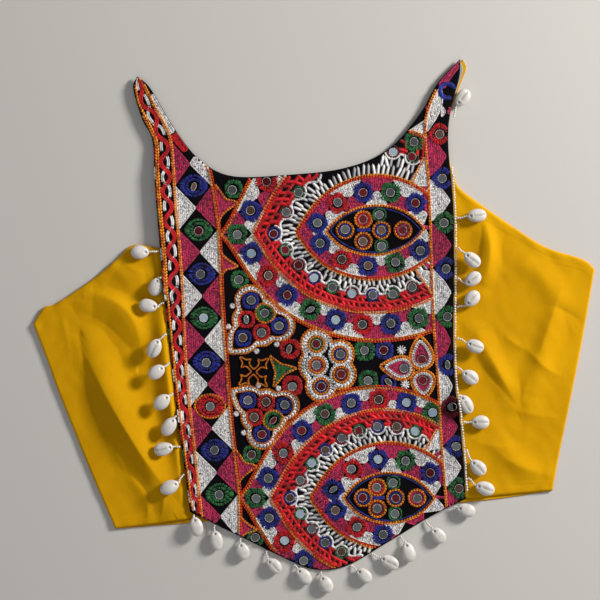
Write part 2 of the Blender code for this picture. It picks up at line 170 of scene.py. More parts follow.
LEFT_FOLDS = [
    Fold((-181, -15), (-158, -62), (-116, -142), 15, 12, 7.0),
    Fold((-182, 22), (-138, 22), (-141, -22), 8, 17, 4.5),
    Fold((-160, 46), (-148, 36), (-133, 40), 8, 10, 2.4),
    Fold((-150, -118), (-138, -128), (-128, -150), 5, 6, 1.8),
]
RIGHT_FOLDS = [
    Fold((133, 84), (146, 62), (134, 28), 7, 9, 3.6),
    Fold((128, -2), (146, -34), (160, -62), 9, 8, 3.4),
    Fold((196, 22), (184, -18), (172, -60), 10, 9, 3.2),
    Fold((148, -92), (158, -112), (186, -118), 8, 9, 2.2),
    Fold((160, 60), (188, 40), (204, 8), 9, 11, 2.4),
]
LEFT_CREASES = [
    Fold((-194, 18), (-183, -34), (-166, -114), 5, 6, -1.6),
    Fold((-180, -28), (-156, -80), (-118, -130), 6, 9.5, 3.4),
    Fold((-124, 30), (-117, -50), (-102, -130), 26, 8, 6.0),
    Fold((-194, 26), (-150, 32), (-140, -8), 4, 8, 1.2),
    Fold((-190, 12), (-160, 6), (-136, -34), 6, 6, -1.1),
    Fold((-160, -76), (-150, -100), (-130, -132), 5, 7, -0.9),
    Fold((-156, -96), (-150, -104), (-146, -112), 1.6, 2, 0.7),
    Fold((-160, -98), (-156, -106), (-152, -114), 1.6, 2, 0.6),
    Fold((-134, -138), (-132, -146), (-134, -154), 2, 2, 0.8),
    Fold((-120, -132), (-120, -142), (-122, -152), 2, 2, 0.8),
    Fold((-204, 12), (-198, -2), (-196, -26), 3, 3, 0.5),
    Fold((-150, 50), (-142, 42), (-130, 44), 3, 3, 0.8),
]
RIGHT_CREASES = [
    Fold((137, 82), (146, 64), (136, 38), 4, 6, 1.5),
    Fold((134, 84), (135, 66), (128, 44), 2, 3, -0.9),
    Fold((150, 37), (159, 46), (174, 53), 3, 4, 0.9),
    Fold((198, 32), (188, 0), (179, -24), 6, 6, 1.5),
    Fold((170, -16), (182, -34), (200, -40), 6, 4, 1.4),
    Fold((130, -24), (141, -40), (163, -64), 5, 4, -1.4),
    Fold((132, -8), (148, -36), (162, -62), 4, 4, 1.0),
    Fold((152, 6), (150, -4), (148, -13), 2, 3, -0.9),
    Fold((153, -7), (160, -14), (170, -18), 3, 3, 0.9),
    Fold((166, -64), (168, -50), (173, -38), 5, 5, 1.0),
    Fold((166, -64), (162, -74), (160, -86), 3, 4, -0.8),
    Fold((196, 15), (204, 12), (214, 4), 3, 4, -0.9),
    Fold((190, -58), (198, -66), (205, -75), 3, 4, -0.8),
    Fold((160, -66), (176, -72), (196, -72), 4, 5, 0.9),
    Fold((126, -90), (144, -98), (162, -96), 4, 5, 0.8),
    Fold((148, -100), (158, -112), (186, -118), 3, 5, 0.8),
]


class Tassel(NamedTuple):
    """One shell on its string: how far along its edge the string leaves, the shell's middle and heading."""

    at: float
    shell_x: float
    shell_y: float
    heading: float


ON_LEFT_SIDE = [
    Tassel(*row) for row in (
        (0.406, -140.2, 59.8, 180), (0.466, -126.8, 31.2, 255), (0.523, -133.2, 17.2, 171),
        (0.595, -127.6, -17.2, 245), (0.661, -126.4, -36.4, 216), (0.730, -121.8, -60.2, 222),
        (0.780, -115.8, -79.6, 238), (0.850, -120.6, -97.4, 193), (0.913, -115.6, -128.0, 206),
    )
]
AT_LOWER_EDGE = [
    Tassel(*row) for row in (
        (0.014, -94.2, -160.2, 281), (0.089, -78.4, -171.4, 278), (0.185, -57.0, -180.6, 285),
        (0.280, -31.4, -192.2, 317), (0.381, -8.0, -200.0, 310), (0.469, 9.6, -206.6, 299),
        (0.568, 40.8, -199.8, 320), (0.644, 60.6, -188.6, 332), (0.753, 75.6, -180.6, 284),
        (0.851, 100.2, -167.8, 312), (0.955, 122.4, -146.8, 345),
    )
]
ON_RIGHT_SIDE = [
    Tassel(*row) for row in (
        (0.953, 137.2, -129.2, 342), (0.890, 131.8, -112.8, 317), (0.827, 134.2, -76.2, 0),
        (0.765, 121.6, -62.0, 300), (0.700, 125.8, -40.6, 325), (0.634, 129.6, -15.6, 338),
        (0.565, 127.0, 23.4, 50), (0.500, 127.8, 39.0, 36), (0.431, 126.8, 53.4, 320),
        (0.364, 131.0, 89.2, 5), (0.132, 119.4, 184.0, 52),
    )
]
TUCKED_SHELLS = (ON_LEFT_SIDE[1], ON_LEFT_SIDE[6], ON_RIGHT_SIDE[3])


def ease(value: Array, low: float, high: float) -> Array:
    """A smooth step: 0 below low, 1 above high, and 3t^2 - 2t^3 between them."""
    t = np.clip((value - low) / (high - low), 0, 1)
    return t * t * (3 - 2 * t)


def smooth_line(points: Sequence, spots: Array) -> Array:
    """Points at spots, from 0 to 1, of a smooth line through the given ones: Catmull-Rom cubics."""
    knots = np.asarray(points, float)
    ends = np.vstack([2 * knots[0] - knots[1], knots, 2 * knots[-1] - knots[-2]])
    a, b, c, d = (ends[i : len(ends) - 3 + i, None, :] for i in range(4))
    t = np.linspace(0, 1, 24, endpoint=False)[None, :, None]
    spans = b + t * (c - a) / 2 + t**2 * (a - 2.5 * b + 2 * c - d / 2) + t**3 * (d - 3 * c + 3 * b - a) / 2
    line = np.vstack([spans.reshape(-1, 2), knots[-1:]])
    return along_line(line, np.asarray(spots))


def line_lengths(line: Array) -> Array:
    """Distance along a polyline from its start to each of its points."""
    return np.concatenate([[0.0], np.cumsum(np.linalg.norm(np.diff(line, axis=0), axis=1))])


def along_line(line: Array, spots: Array) -> Array:
    """Points at the given shares, from 0 to 1, of a polyline's length."""
    length = line_lengths(line)
    far = spots * length[-1]
    return np.stack([np.interp(far, length, line[:, i]) for i in range(line.shape[1])], -1)


def even_line(points: Sequence, steps: int) -> Array:
    """Evenly spaced points on the smooth line through the given ones."""
    return smooth_line(points, np.linspace(0, 1, steps + 1))


def paced(line: Array, pace: float) -> Array:
    """Points about one pace apart along a polyline, its two ends among them."""
    steps = max(2, round(line_lengths(line)[-1] / pace))
    return along_line(line, np.linspace(0, 1, steps + 1))


def square_to(line: Array) -> Array:
    """Unit vectors square to a polyline at each of its points, on its left as it runs."""
    run = np.gradient(line, axis=0)
    left = np.stack([-run[:, 1], run[:, 0]], 1)
    return left / np.maximum(np.linalg.norm(left, axis=1), 1e-9)[:, None]


def moved_out(points: Sequence, spots: Array, faces: int, distance: float) -> Array:
    """Points on a smooth line, moved square to it.

    Args:
        points: The points that the line runs through.
        spots: Places along it, from 0 to 1.
        faces: 1 to move to its left as it runs, -1 to its right.
        distance: How far to move.
    """
    spots = np.asarray(spots)
    here = smooth_line(points, spots)
    ahead, behind = (smooth_line(points, np.clip(spots + step, 0, 1)) for step in (0.004, -0.004))
    run = ahead - behind
    square = np.stack([-run[:, 1], run[:, 0]], 1) / np.linalg.norm(run, axis=1)[:, None]
    return here + faces * distance * square


def spread_net(top: Array, bottom: Array, left: Array, right: Array) -> Array:
    """A net inside four edges: the sum of the two ruled sheets less the blend of the corners.

    Args:
        top: The first row's points, left to right.
        bottom: The last row's points, as many as the first's.
        left: The first column's points, top to bottom.
        right: The last column's points, as many as the first's.

    Returns:
        Plan points as an array of rows, columns and (x, y).
    """
    u = np.linspace(0, 1, len(top))[None, :, None]
    v = np.linspace(0, 1, len(left))[:, None, None]
    across = (1 - v) * top[None] + v * bottom[None]
    along = (1 - u) * left[:, None] + u * right[:, None]
    corners = (1 - v) * ((1 - u) * top[0] + u * top[-1]) + v * ((1 - u) * bottom[0] + u * bottom[-1])
    return across + along - corners


def panel_margins(x: Array, y: Array) -> tuple[Array, Array]:
    """Distance in from the panel's left edge and from its right one, both taken as straight lines."""
    left, right = (at + (MARGIN_LEVEL - y) * slope for at, slope in (LEFT_MARGIN, RIGHT_MARGIN))
    return x - left, right - x


def beside_panel(x: Array, y: Array) -> Array:
    """How far places are out from under the panel: 0 where it covers them, 1 well beside it."""
    return ease(-np.minimum(*panel_margins(x, y)), -1.0, 7.0)


def panel_underside(x: Array, y: Array) -> Array:
    """Height of the panel's underside.

    It lies on the front sides at its own sides, sags onto the back in the middle, drops to the floor
    past the back's hem, lifts along its side edges and rides over the shells tucked under it.
    """
    from_left, from_right = panel_margins(x, y)
    margin = np.minimum(from_left, from_right)
    sag = ease(margin, SAG_STARTS, SAG_ENDS) * ease(NECK_LEVEL + 24.0 - y, 0, 24.0)
    height = PANEL_OVER_SIDES + (PANEL_OVER_BACK - PANEL_OVER_SIDES) * sag
    hem = np.interp(x, *zip(*BACK_HEM))
    dropped = ease(hem - 2.0 - y, 0, HEM_DROP)
    height = height + (PANEL_OVER_FLOOR - height) * dropped
    body = ease(150.0 - y, 0, 30.0) * (1 - dropped)
    height = height + LEFT_EDGE_LIFT * body * np.exp(-((from_left / EDGE_LIFT_REACH) ** 2))
    height = height + RIGHT_EDGE_LIFT * body * np.exp(-((from_right / EDGE_LIFT_REACH) ** 2))
    for tassel in TUCKED_SHELLS:
        away = np.hypot(x - tassel.shell_x, y - tassel.shell_y)
        height = height + PROP_RISE * np.exp(-((away / PROP_REACH) ** 4))
    return height


def panel_top(x: Array, y: Array) -> Array:
    """Height of the panel's upper face: a wall above its underside, with a faint lie of its own.

    The lie is two long sine waves crossed, a third of a millimetre high at most.
    """
    lie = 0.5 * np.sin(x / 17.0 + 0.6 * np.sin(y / 23.0)) * np.cos(y / 21.0 + 0.4) + 0.5
    return panel_underside(x, y) + PANEL_WALL + 0.35 * lie


def fold_height(x: Array, y: Array, fold: Fold, crisp: bool = False) -> Array:
    """Height of one fold: its rise, fading with the distance from its crest and towards its ends.

    The crest is a quadratic Bezier line, the fade square to it a Gaussian, or exp(-distance / reach)
    if it is crisp, and the fade along it half a sine wave.

    Args:
        fold: The fold.
        crisp: Whether its crest is a sharp one.

    Returns:
        The heights that it adds.
    """
    start, bend, end = (np.asarray(p, float) for p in (fold.start, fold.bend, fold.end))
    t = np.linspace(0, 1, CREST_STEPS + 1)[:, None]
    crest = (1 - t) ** 2 * start + 2 * t * (1 - t) * bend + t**2 * end
    heading = np.gradient(crest, axis=0)
    off_x = x[..., None] - crest[:, 0]
    off_y = y[..., None] - crest[:, 1]
    nearest = np.argmin(off_x**2 + off_y**2, axis=-1)
    dx = np.take_along_axis(off_x, nearest[..., None], -1)[..., 0]
    dy = np.take_along_axis(off_y, nearest[..., None], -1)[..., 0]
    square = heading[nearest, 0] * dy - heading[nearest, 1] * dx
    step = np.hypot(heading[nearest, 0], heading[nearest, 1])
    beside = square / step
    past = np.clip(np.hypot(dx, dy) ** 2 - beside**2 - (step / 2) ** 2, 0, None)
    run = heading[nearest, 0] * dx + heading[nearest, 1] * dy
    share = np.clip((nearest + run / step**2) / CREST_STEPS, 0.06, 0.94)
    reach = np.where(square > 0, fold.left_reach, fold.right_reach)
    fade = np.sin(np.pi * share) ** 0.6
    if crisp:
        off = np.sqrt(beside**2 + past + CREST_ROUND**2) - CREST_ROUND
        return fold.rise * fade * np.exp(-off / reach)
    return fold.rise * fade * np.exp(-(beside**2 + past) / reach**2)


def side_underside(x: Array, y: Array, folds: Sequence[Fold], creases: Sequence[Fold] = ()) -> Array:
    """Height of a front side's underside: flat where the panel covers it, with its folds outside.

    Args:
        folds: The folds, of which the highest counts.
        creases: Finer creases, which are added up, and crisp if they reach little to the left.

    Returns:
        The heights.
    """
    rise = np.maximum.reduce([fold_height(x, y, fold) for fold in folds])
    fine = sum((fold_height(x, y, one, one.left_reach < CRISP_BELOW) for one in creases), np.zeros_like(x))
    return SIDE_FLOOR + beside_panel(x, y) * np.maximum(rise + fine, 0.0)


def surface_below(x: Array, y: Array) -> Array:
    """Height of what a tassel lies on: a front side and its folds, the back's hem or the floor.
    """
    on_left = float(np.mean(x)) < 0
    folds, creases = (LEFT_FOLDS, LEFT_CREASES) if on_left else (RIGHT_FOLDS, RIGHT_CREASES)
    edges = (LEFT_ARMHOLE, LEFT_HEM) if on_left else (RIGHT_ARMHOLE, RIGHT_HEM)
    armhole, hem = (np.array(sorted(edge)) for edge in edges)
    above_hem = y > np.interp(x, hem[:, 0], hem[:, 1]) - HEM_MARGIN
    below_armhole = y < np.interp(x, armhole[:, 0], armhole[:, 1]) + HEM_MARGIN
    above_back_hem = y > np.interp(x, *zip(*BACK_HEM)) - HEM_MARGIN
    on_side = side_underside(x, y, folds, creases) + COTTON_WALL * SLOPE_ALLOWANCE
    return np.where(above_hem & below_armhole, on_side, np.where(above_back_hem, BACK_TOP, 0.0))


def inside(outline: Array, x: Array, y: Array) -> Array:
    """Whether points lie inside a closed outline, by counting the edges that a ray to the right crosses.

    Args:
        outline: The outline's corners.

    Returns:
        True for each point inside.
    """
    ax, ay = outline[:, 0], outline[:, 1]
    bx, by = np.roll(ax, -1), np.roll(ay, -1)
    x, y = np.asarray(x)[..., None], np.asarray(y)[..., None]
    spans = (ay > y) != (by > y)
    rise = np.where(by == ay, 1e-9, by - ay)
    crossing = ax + (y - ay) * (bx - ax) / rise
    return (spans & (x < crossing)).sum(-1) % 2 == 1


def make_mesh(name: str, points: Array, faces: Sequence[Array], smooth: bool = True) -> Piece:
    """A mesh object at the origin.

    Args:
        name: The piece's name.
        points: Its corners, in millimetres.
        faces: Arrays of corner numbers, each array with faces of one size.
        smooth: Whether it is shaded smooth.
    """
    mesh = bpy.data.meshes.new(name)
    mesh.vertices.add(len(points))
    mesh.vertices.foreach_set("co", (np.asarray(points, float) * MM).ravel())
    loops = np.concatenate([np.asarray(f).ravel() for f in faces])
    sizes = np.concatenate([np.full(len(f), np.asarray(f).shape[1]) for f in faces])
    mesh.loops.add(len(loops))
    mesh.loops.foreach_set("vertex_index", loops.astype(np.int32))
    mesh.polygons.add(len(sizes))
    mesh.polygons.foreach_set("loop_start", np.concatenate([[0], np.cumsum(sizes)[:-1]]).astype(np.int32))
    mesh.polygons.foreach_set("use_smooth", np.full(len(sizes), smooth))
    mesh.update(calc_edges=True)
    mesh.validate()
    piece = bpy.data.objects.new(name, mesh)
    bpy.context.scene.collection.objects.link(piece)
    return piece


def bake_map(piece: Piece, places: Array) -> None:
    """Give a piece a map for baking: each of its corners' place in the unit square."""
    corners = np.empty(len(piece.data.loops), np.int32)
    piece.data.loops.foreach_get("vertex_index", corners)
    layer = piece.data.uv_layers.new(name=BAKE_MAP)
    layer.data.foreach_set("uv", places[corners].ravel())


def plan_map(piece: Piece) -> None:
    """Give a piece a map for baking that is its plan, shrunk into the unit square."""
    spots = np.empty(len(piece.data.vertices) * 3)
    piece.data.vertices.foreach_get("co", spots)
    plan = spots.reshape(-1, 3)[:, :2]
    low = plan.min(0)
    bake_map(piece, 0.01 + 0.98 * (plan - low) / max(plan.max(0) - low))


def point_values(piece: Piece, name: str, values: Array) -> None:
    """Give a piece a number at each of its corners, which its material reads by name."""
    layer = piece.data.attributes.new(name, "FLOAT", "POINT")
    layer.data.foreach_set("value", np.asarray(values, np.float32).ravel())


def grid_faces(rows: int, columns: int, first: int = 0) -> Array:
    """Quads of a grid whose corners are numbered row by row from first."""
    corner = first + (np.arange(rows - 1)[:, None] * columns + np.arange(columns - 1)).ravel()
    return np.stack([corner, corner + columns, corner + columns + 1, corner + 1], 1)


def ring_quads(sides: int, bands: int) -> Array:
    """Quads that join each ring of corners to the next, for rings numbered one after another."""
    here = np.arange(sides)
    after = np.roll(here, -1)
    starts = range(0, bands * sides, sides)
    quads = [np.stack([here + k, after + k, after + k + sides, here + k + sides], 1) for k in starts]
    return np.vstack(quads)


def closed_sheet(name: str, net: Array, bottom: Array, top: Array) -> Piece:
    """A closed sheet of cloth: the net at two heights, joined all round its edge.

    Args:
        name: The piece's name.
        net: Plan points as rows, columns and (x, y).
        bottom: The underside's height at each.
        top: The upper face's height at each.
    """
    rows, columns = net.shape[:2]
    count = rows * columns
    points = np.vstack([np.dstack([net, bottom]).reshape(-1, 3), np.dstack([net, top]).reshape(-1, 3)])
    upper = grid_faces(rows, columns, count)
    lower = grid_faces(rows, columns)[:, ::-1]
    index = np.arange(count).reshape(rows, columns)
    rim = np.concatenate([index[:, 0], index[-1, 1:], index[-2::-1, -1], index[0, -2:0:-1]])
    after = np.roll(rim, -1)
    wall = np.stack([rim, after, after + count, rim + count], 1)
    down, over = net[1, 0] - net[0, 0], net[0, 1] - net[0, 0]
    if down[0] * over[1] - down[1] * over[0] < 0:
        upper, lower, wall = upper[:, ::-1], lower[:, ::-1], wall[:, ::-1]
    return make_mesh(name, points, [lower, upper, wall])


def rim_distance(net: Array) -> tuple[Array, Array, Array, Array]:
    """Distance of each net point from the first row, last row, first column and last column.

    Each is measured along the net's own lines.

    Args:
        net: Plan points as rows, columns and (x, y).
    """
    down = np.linalg.norm(np.diff(net, axis=0), axis=2)
    over = np.linalg.norm(np.diff(net, axis=1), axis=2)
    from_first_row = np.vstack([np.zeros((1, net.shape[1])), np.cumsum(down, axis=0)])
    from_first_column = np.hstack([np.zeros((net.shape[0], 1)), np.cumsum(over, axis=1)])
    return (
        from_first_row,
        from_first_row[-1:] - from_first_row,
        from_first_column,
        from_first_column[:, -1:] - from_first_column,
    )


def node_group(name: str, inputs: dict[str, tuple[str, float]], outputs: dict[str, str]) -> tuple:
    """An empty shader node group with named sockets.

    Args:
        name: The group's name.
        inputs: Each input's socket type and default.
        outputs: Each output's socket type.

    Returns:
        The group, its input node and its output node.
    """
    group = bpy.data.node_groups.new(name, "ShaderNodeTree")
    for label, (kind, default) in inputs.items():
        socket = group.interface.new_socket(label, in_out="INPUT", socket_type=kind)
        if kind == "NodeSocketFloat":
            socket.default_value = default
    for label, kind in outputs.items():
        group.interface.new_socket(label, in_out="OUTPUT", socket_type=kind)
    return group, group.nodes.new("NodeGroupInput"), group.nodes.new("NodeGroupOutput")


def feed(tree: Tree, value: object, socket: Socket) -> None:
    """Link an output to an input socket, or set the socket to a number or a colour."""
    if isinstance(value, Socket):
        tree.links.new(value, socket)
    else:
        socket.default_value = (*value, 1) if isinstance(value, tuple) else value


def sums(tree: Tree, operation: str, a: object, b: object) -> Socket:
    """The output of a new Math node on two sockets or numbers."""
    node = tree.nodes.new("ShaderNodeMath")
    node.operation = operation
    for socket, value in zip(node.inputs, (a, b)):
        feed(tree, value, socket)
    return node.outputs[0]


def noise(tree: Tree, vector: object, scale: object, detail: float = 3.0) -> Socket:
    """The value of a new noise texture read at a vector."""
    node = tree.nodes.new("ShaderNodeTexNoise")
    node.inputs["Detail"].default_value = detail
    tree.links.new(vector, node.inputs["Vector"])
    feed(tree, scale, node.inputs["Scale"])
    return node.outputs["Fac"]


def blend(tree: Tree, factor: object, first: object, second: object) -> Socket:
    """The colour of a new Mix node between two colours or colour sockets."""
    node = tree.nodes.new("ShaderNodeMix")
    node.data_type = "RGBA"
    tree.links.new(factor, node.inputs["Factor"])
    for label, value in (("A", first), ("B", second)):
        feed(tree, value, next(s for s in node.inputs if s.name == label and s.type == "RGBA"))
    return next(s for s in node.outputs if s.type == "RGBA")


def place_group(tree: Tree, group: Tree, vector: object, **values: float) -> bpy.types.Node:
    """A group placed in a material, reading a vector and with its own values (spaces in names as _)."""
    node = tree.nodes.new("ShaderNodeGroup")
    node.node_tree = group
    tree.links.new(vector, node.inputs["Vector"])
    for label, value in values.items():
        node.inputs[label.replace("_", " ")].default_value = value
    return node


class Effects:
    """The shader effects that several finishes share, each built once as a node group."""

    def __init__(self) -> None:
        """Build the groups."""
        self.weave = self.plain_weave()
        self.mottle = self.soft_mottle()

    @staticmethod
    def plain_weave() -> Tree:
        """Plain weave: the product of a sine along each thread system, roughened by noise for slubs.

        Returns:
            A group with Vector, Threads and Slub in, and Height and Hollows out; the cloth darkens by Hollows
            as painted shade.
        """
        floats = {"Threads": ("NodeSocketFloat", 2000.0), "Slub": ("NodeSocketFloat", 0.3)}
        group, taken, given = node_group(
            "plain_weave",
            {"Vector": ("NodeSocketVector", 0.0), **floats},
            {"Height": "NodeSocketFloat", "Hollows": "NodeSocketFloat"},
        )
        split = group.nodes.new("ShaderNodeSeparateXYZ")
        group.links.new(taken.outputs["Vector"], split.inputs[0])
        waves = []
        for axis in "XY":
            turn = sums(group, "MULTIPLY", split.outputs[axis], taken.outputs["Threads"])
            waves.append(sums(group, "ABSOLUTE", sums(group, "SINE", turn, 0.0), 0.0))
        crossed = sums(group, "ADD", sums(group, "MULTIPLY", *waves), sums(group, "MULTIPLY", waves[0], 0.35))
        stretch = group.nodes.new("ShaderNodeVectorMath")
        stretch.operation = "MULTIPLY"
        stretch.inputs[1].default_value = (1.0, 0.12, 1.0)
        group.links.new(taken.outputs["Vector"], stretch.inputs[0])
        slub = sums(group, "MULTIPLY", noise(group, stretch.outputs[0], 900.0, 2.0), taken.outputs["Slub"])
        group.links.new(sums(group, "ADD", crossed, slub), given.inputs["Height"])
        group.links.new(sums(group, "SUBTRACT", 1.0, crossed), given.inputs["Hollows"])
        return group

    @staticmethod
    def soft_mottle() -> Tree:
        """Uneven dye: a broad noise and a fine one added, their mix set by Fine.

        Returns:
            A group with Vector, Broad Scale, Fine Scale and Fine in, and Value out.
        """
        floats = {
            "Broad Scale": ("NodeSocketFloat", 14.0),
            "Fine Scale": ("NodeSocketFloat", 260.0),
            "Fine": ("NodeSocketFloat", 0.4),
        }
        group, taken, given = node_group(
            "soft_mottle", {"Vector": ("NodeSocketVector", 0.0), **floats}, {"Value": "NodeSocketFloat"}
        )
        broad = noise(group, taken.outputs["Vector"], taken.outputs["Broad Scale"])
        fine = noise(group, taken.outputs["Vector"], taken.outputs["Fine Scale"], 4.0)
        part = sums(group, "MULTIPLY", sums(group, "SUBTRACT", fine, 0.5), taken.outputs["Fine"])
        spread = sums(group, "MULTIPLY", sums(group, "SUBTRACT", broad, 0.5), 1.6)
        group.links.new(sums(group, "ADD", sums(group, "ADD", spread, 0.5), part), given.inputs["Value"])
        return group


Colour = tuple[float, float, float]
# Name of the per-corner attribute: random tone, and on floss and shells painted highlight and painted shade
# too.
SHADE = "shade"


def new_material(name: str) -> tuple:
    """A new material, its node tree, its Principled shader and the socket of its Object coordinates."""
    material = bpy.data.materials.new(name)
    material.use_nodes = True
    tree = material.node_tree
    place = tree.nodes.new("ShaderNodeTexCoord")
    return material, tree, tree.nodes["Principled BSDF"], place.outputs["Object"]


def set_sockets(tree: Tree, node: bpy.types.Node, values: dict[str, object]) -> None:
    """Set a node's inputs by name, each to a number, a colour or another node's output."""
    for label, value in values.items():
        feed(tree, value, node.inputs[label])


@dataclass(frozen=True)
class ClothFinish:
    """Woven cloth: two tones of one dye, a weave with painted shade in its hollows, and a little sheen."""

    name: str
    slot: str
    dark: Colour
    light: Colour
    roughness: float
    sheen: float
    threads: float = 6500.0
    bump: float = 0.35

    def material(self, effects: Effects) -> bpy.types.Material:
        """The finish as a material."""
        material, tree, shader, place = new_material(self.name)
        mottle = place_group(tree, effects.mottle, place, Broad_Scale=16.0, Fine_Scale=420.0, Fine=0.5)
        weave = place_group(tree, effects.weave, place, Threads=self.threads, Slub=0.6)
        tone = blend(tree, mottle.outputs["Value"], self.dark, self.light)
        # Painted shade: the weave's hollows take up to 22% of a darker copy of the dark tone.
        hollow = sums(tree, "MULTIPLY", weave.outputs["Hollows"], 0.22)
        colour = blend(tree, hollow, tone, tuple(0.55 * c for c in self.dark))
        set_sockets(tree, shader, {
            "Base Color": colour, "Roughness": self.roughness, "Sheen Weight": self.sheen,
            "Sheen Roughness": 0.5, "Specular IOR Level": 0.07,
        })
        bump = tree.nodes.new("ShaderNodeBump")
        set_sockets(
            tree, bump, {"Strength": self.bump, "Distance": 0.00018, "Height": weave.outputs["Height"]}
        )
        tree.links.new(bump.outputs[0], shader.inputs["Normal"])
        return material


@dataclass(frozen=True)
class ShadedFinish:
    """Floss, shell, bead or mirror: two tones mixed by the shade attribute and dirtied by the mottle.

    The mix is shade + contrast (mottle - 0.5). On floss and shells the shade attribute also holds painted
    highlight and painted shade.
    """

    name: str
    slot: str
    dark: Colour
    light: Colour
    scales: tuple[float, float, float]
    contrast: float
    sockets: tuple[tuple[str, float], ...]

    def material(self, effects: Effects) -> bpy.types.Material:
        """The finish as a material."""
        material, tree, shader, place = new_material(self.name)
        shade = tree.nodes.new("ShaderNodeAttribute")
        shade.attribute_name = SHADE
        broad, fine, share = self.scales
        mottle = place_group(tree, effects.mottle, place, Broad_Scale=broad, Fine_Scale=fine, Fine=share)
        dirt = sums(tree, "MULTIPLY", sums(tree, "SUBTRACT", mottle.outputs["Value"], 0.5), self.contrast)
        tone = blend(tree, sums(tree, "ADD", shade.outputs["Fac"], dirt), self.dark, self.light)
        set_sockets(tree, shader, {"Base Color": tone, **dict(self.sockets)})
        return material


def dyed(name: str, dark: Colour, light: Colour) -> ShadedFinish:
    """Embroidery floss in a shadow tone and a light one."""
    sockets = (
        ("Roughness", 0.6), ("Sheen Weight", 0.05), ("Sheen Roughness", 0.4), ("Specular IOR Level", 0.35)
    )
    return ShadedFinish(f"floss_{name}", "embroidery_thread", dark, light, (40.0, 1500.0, 0.5), 0.5, sockets)


def polished(
    name: str,
    slot: str,
    dark: Colour,
    light: Colour,
    roughness: float,
    metallic: float = 0.0,
    coat: float = 0.0,
) -> ShadedFinish:
    """A hard and smooth finish with its roughness, how metallic it is and its clear coat."""
    sockets = (
        ("Roughness", roughness), ("Metallic", metallic), ("Coat Weight", coat), ("Coat Roughness", 0.2)
    )
    return ShadedFinish(name, slot, dark, light, (160.0, 900.0, 0.3), 0.35, sockets)


YELLOW = ClothFinish("yellow_cotton", "yellow_cotton", (0.62, 0.305, 0.0005), (0.80, 0.405, 0.001), 0.8, 0.0)
GROUND = ClothFinish(
    "black_ground", "embroidered_ground", (0.0015, 0.0012, 0.0022), (0.005, 0.004, 0.006), 0.9, 0.0
)
LINING = ClothFinish("pale_lining", "pale_lining", (0.36, 0.33, 0.30), (0.52, 0.50, 0.47), 0.85, 0.1)


@dataclass
class YellowCotton:
    """The yellow cotton: a back that lies flat and two front sides with their folds."""

    cells: tuple[int, int] = (150, 150)
    hem_width: float = 7.5
    hem_step: float = 0.32
    stitch: float = 2.6

    def side(self, name: str, edges: tuple, folds: Sequence[Fold], creases: Sequence[Fold]) -> Piece:
        """One front side as a closed sheet, with a turned hem along its armhole, seam and lower edge.

        Height is the folds' and creases' plus a ripple of two crossed sine waves; the hem adds a step
        and its stitching a row of dimples, a squared sine along a Gaussian line.

        Args:
            name: The piece's name.
            edges: Its armhole, hem, outer side and inner side.
            folds: Its folds.
            creases: Its finer creases.
        """
        steps = np.repeat(self.cells, 2)
        net = spread_net(*(even_line(edge, count) for edge, count in zip(edges, steps)))
        x, y = net[..., 0], net[..., 1]
        outside = beside_panel(x, y)
        bottom = side_underside(x, y, folds, creases)
        ripple = np.sin(x / 3.1 + 1.3 * np.sin(y / 7.0)) * np.sin(y / 4.3 + 1.1 * np.sin(x / 6.0))
        bottom = bottom + 0.12 * outside * (1 + ripple)
        from_armhole, from_hem, from_seam, _ = rim_distance(net)
        nearest = np.minimum(from_armhole, from_hem)
        turned = (1 - ease(nearest, self.hem_width, self.hem_width + 1.2)) * outside
        line = np.exp(-(((nearest - self.hem_width + 0.8) / 0.55) ** 2)) * outside
        run = np.where(from_armhole < from_hem, x + 0.6 * y, x)
        dimples = line * (0.25 + 0.2 * np.sin(run * 2 * np.pi / self.stitch) ** 2)
        pucker = 0.18 * np.sin(run / 2.4) * np.exp(-((nearest / 9.0) ** 2)) * outside
        wall = COTTON_WALL + self.hem_step * turned - dimples + pucker + 0.18
        rolled = ease(np.minimum(nearest, from_seam), 0.0, 1.2)
        return closed_sheet(name, net, bottom, bottom + wall * (0.45 + 0.55 * rolled))

    def back(self) -> Piece:
        """The back: its outline filled flat, its upper rim drawn in."""
        steps = 60
        edges = (
            even_line(LEFT_STRAP, steps),
            even_line(LEFT_ARMHOLE[:-1], steps)[::-1],
            even_line(LEFT_SIDE, steps),
            even_line(BACK_HEM, steps),
            even_line(RIGHT_SIDE, steps)[::-1],
            even_line(RIGHT_ARMHOLE[:-1], steps),
            even_line(RIGHT_STRAP, steps),
            even_line(BACK_NECK, 2 * steps),
        )
        return flat_piece("yellow_back", np.vstack([edge[:-1] for edge in edges]), 0.0, COTTON_WALL)

    def build(self, effects: Effects) -> list[Piece]:
        """Build the three pieces, dress them and give them to the frame."""
        material = YELLOW.material(effects)
        left = (LEFT_ARMHOLE, LEFT_HEM, LEFT_SIDE, LEFT_INNER)
        right = (RIGHT_ARMHOLE, RIGHT_HEM, RIGHT_SIDE, RIGHT_INNER)
        back = give(self.back(), material, YELLOW.slot, "back_panel")
        one = self.side("yellow_front_left", left, LEFT_FOLDS, LEFT_CREASES)
        give(one, material, YELLOW.slot, "front_side_left")
        two = self.side("yellow_front_right", right, RIGHT_FOLDS, RIGHT_CREASES)
        give(two, material, YELLOW.slot, "front_side_right")
        return [back, one, two]


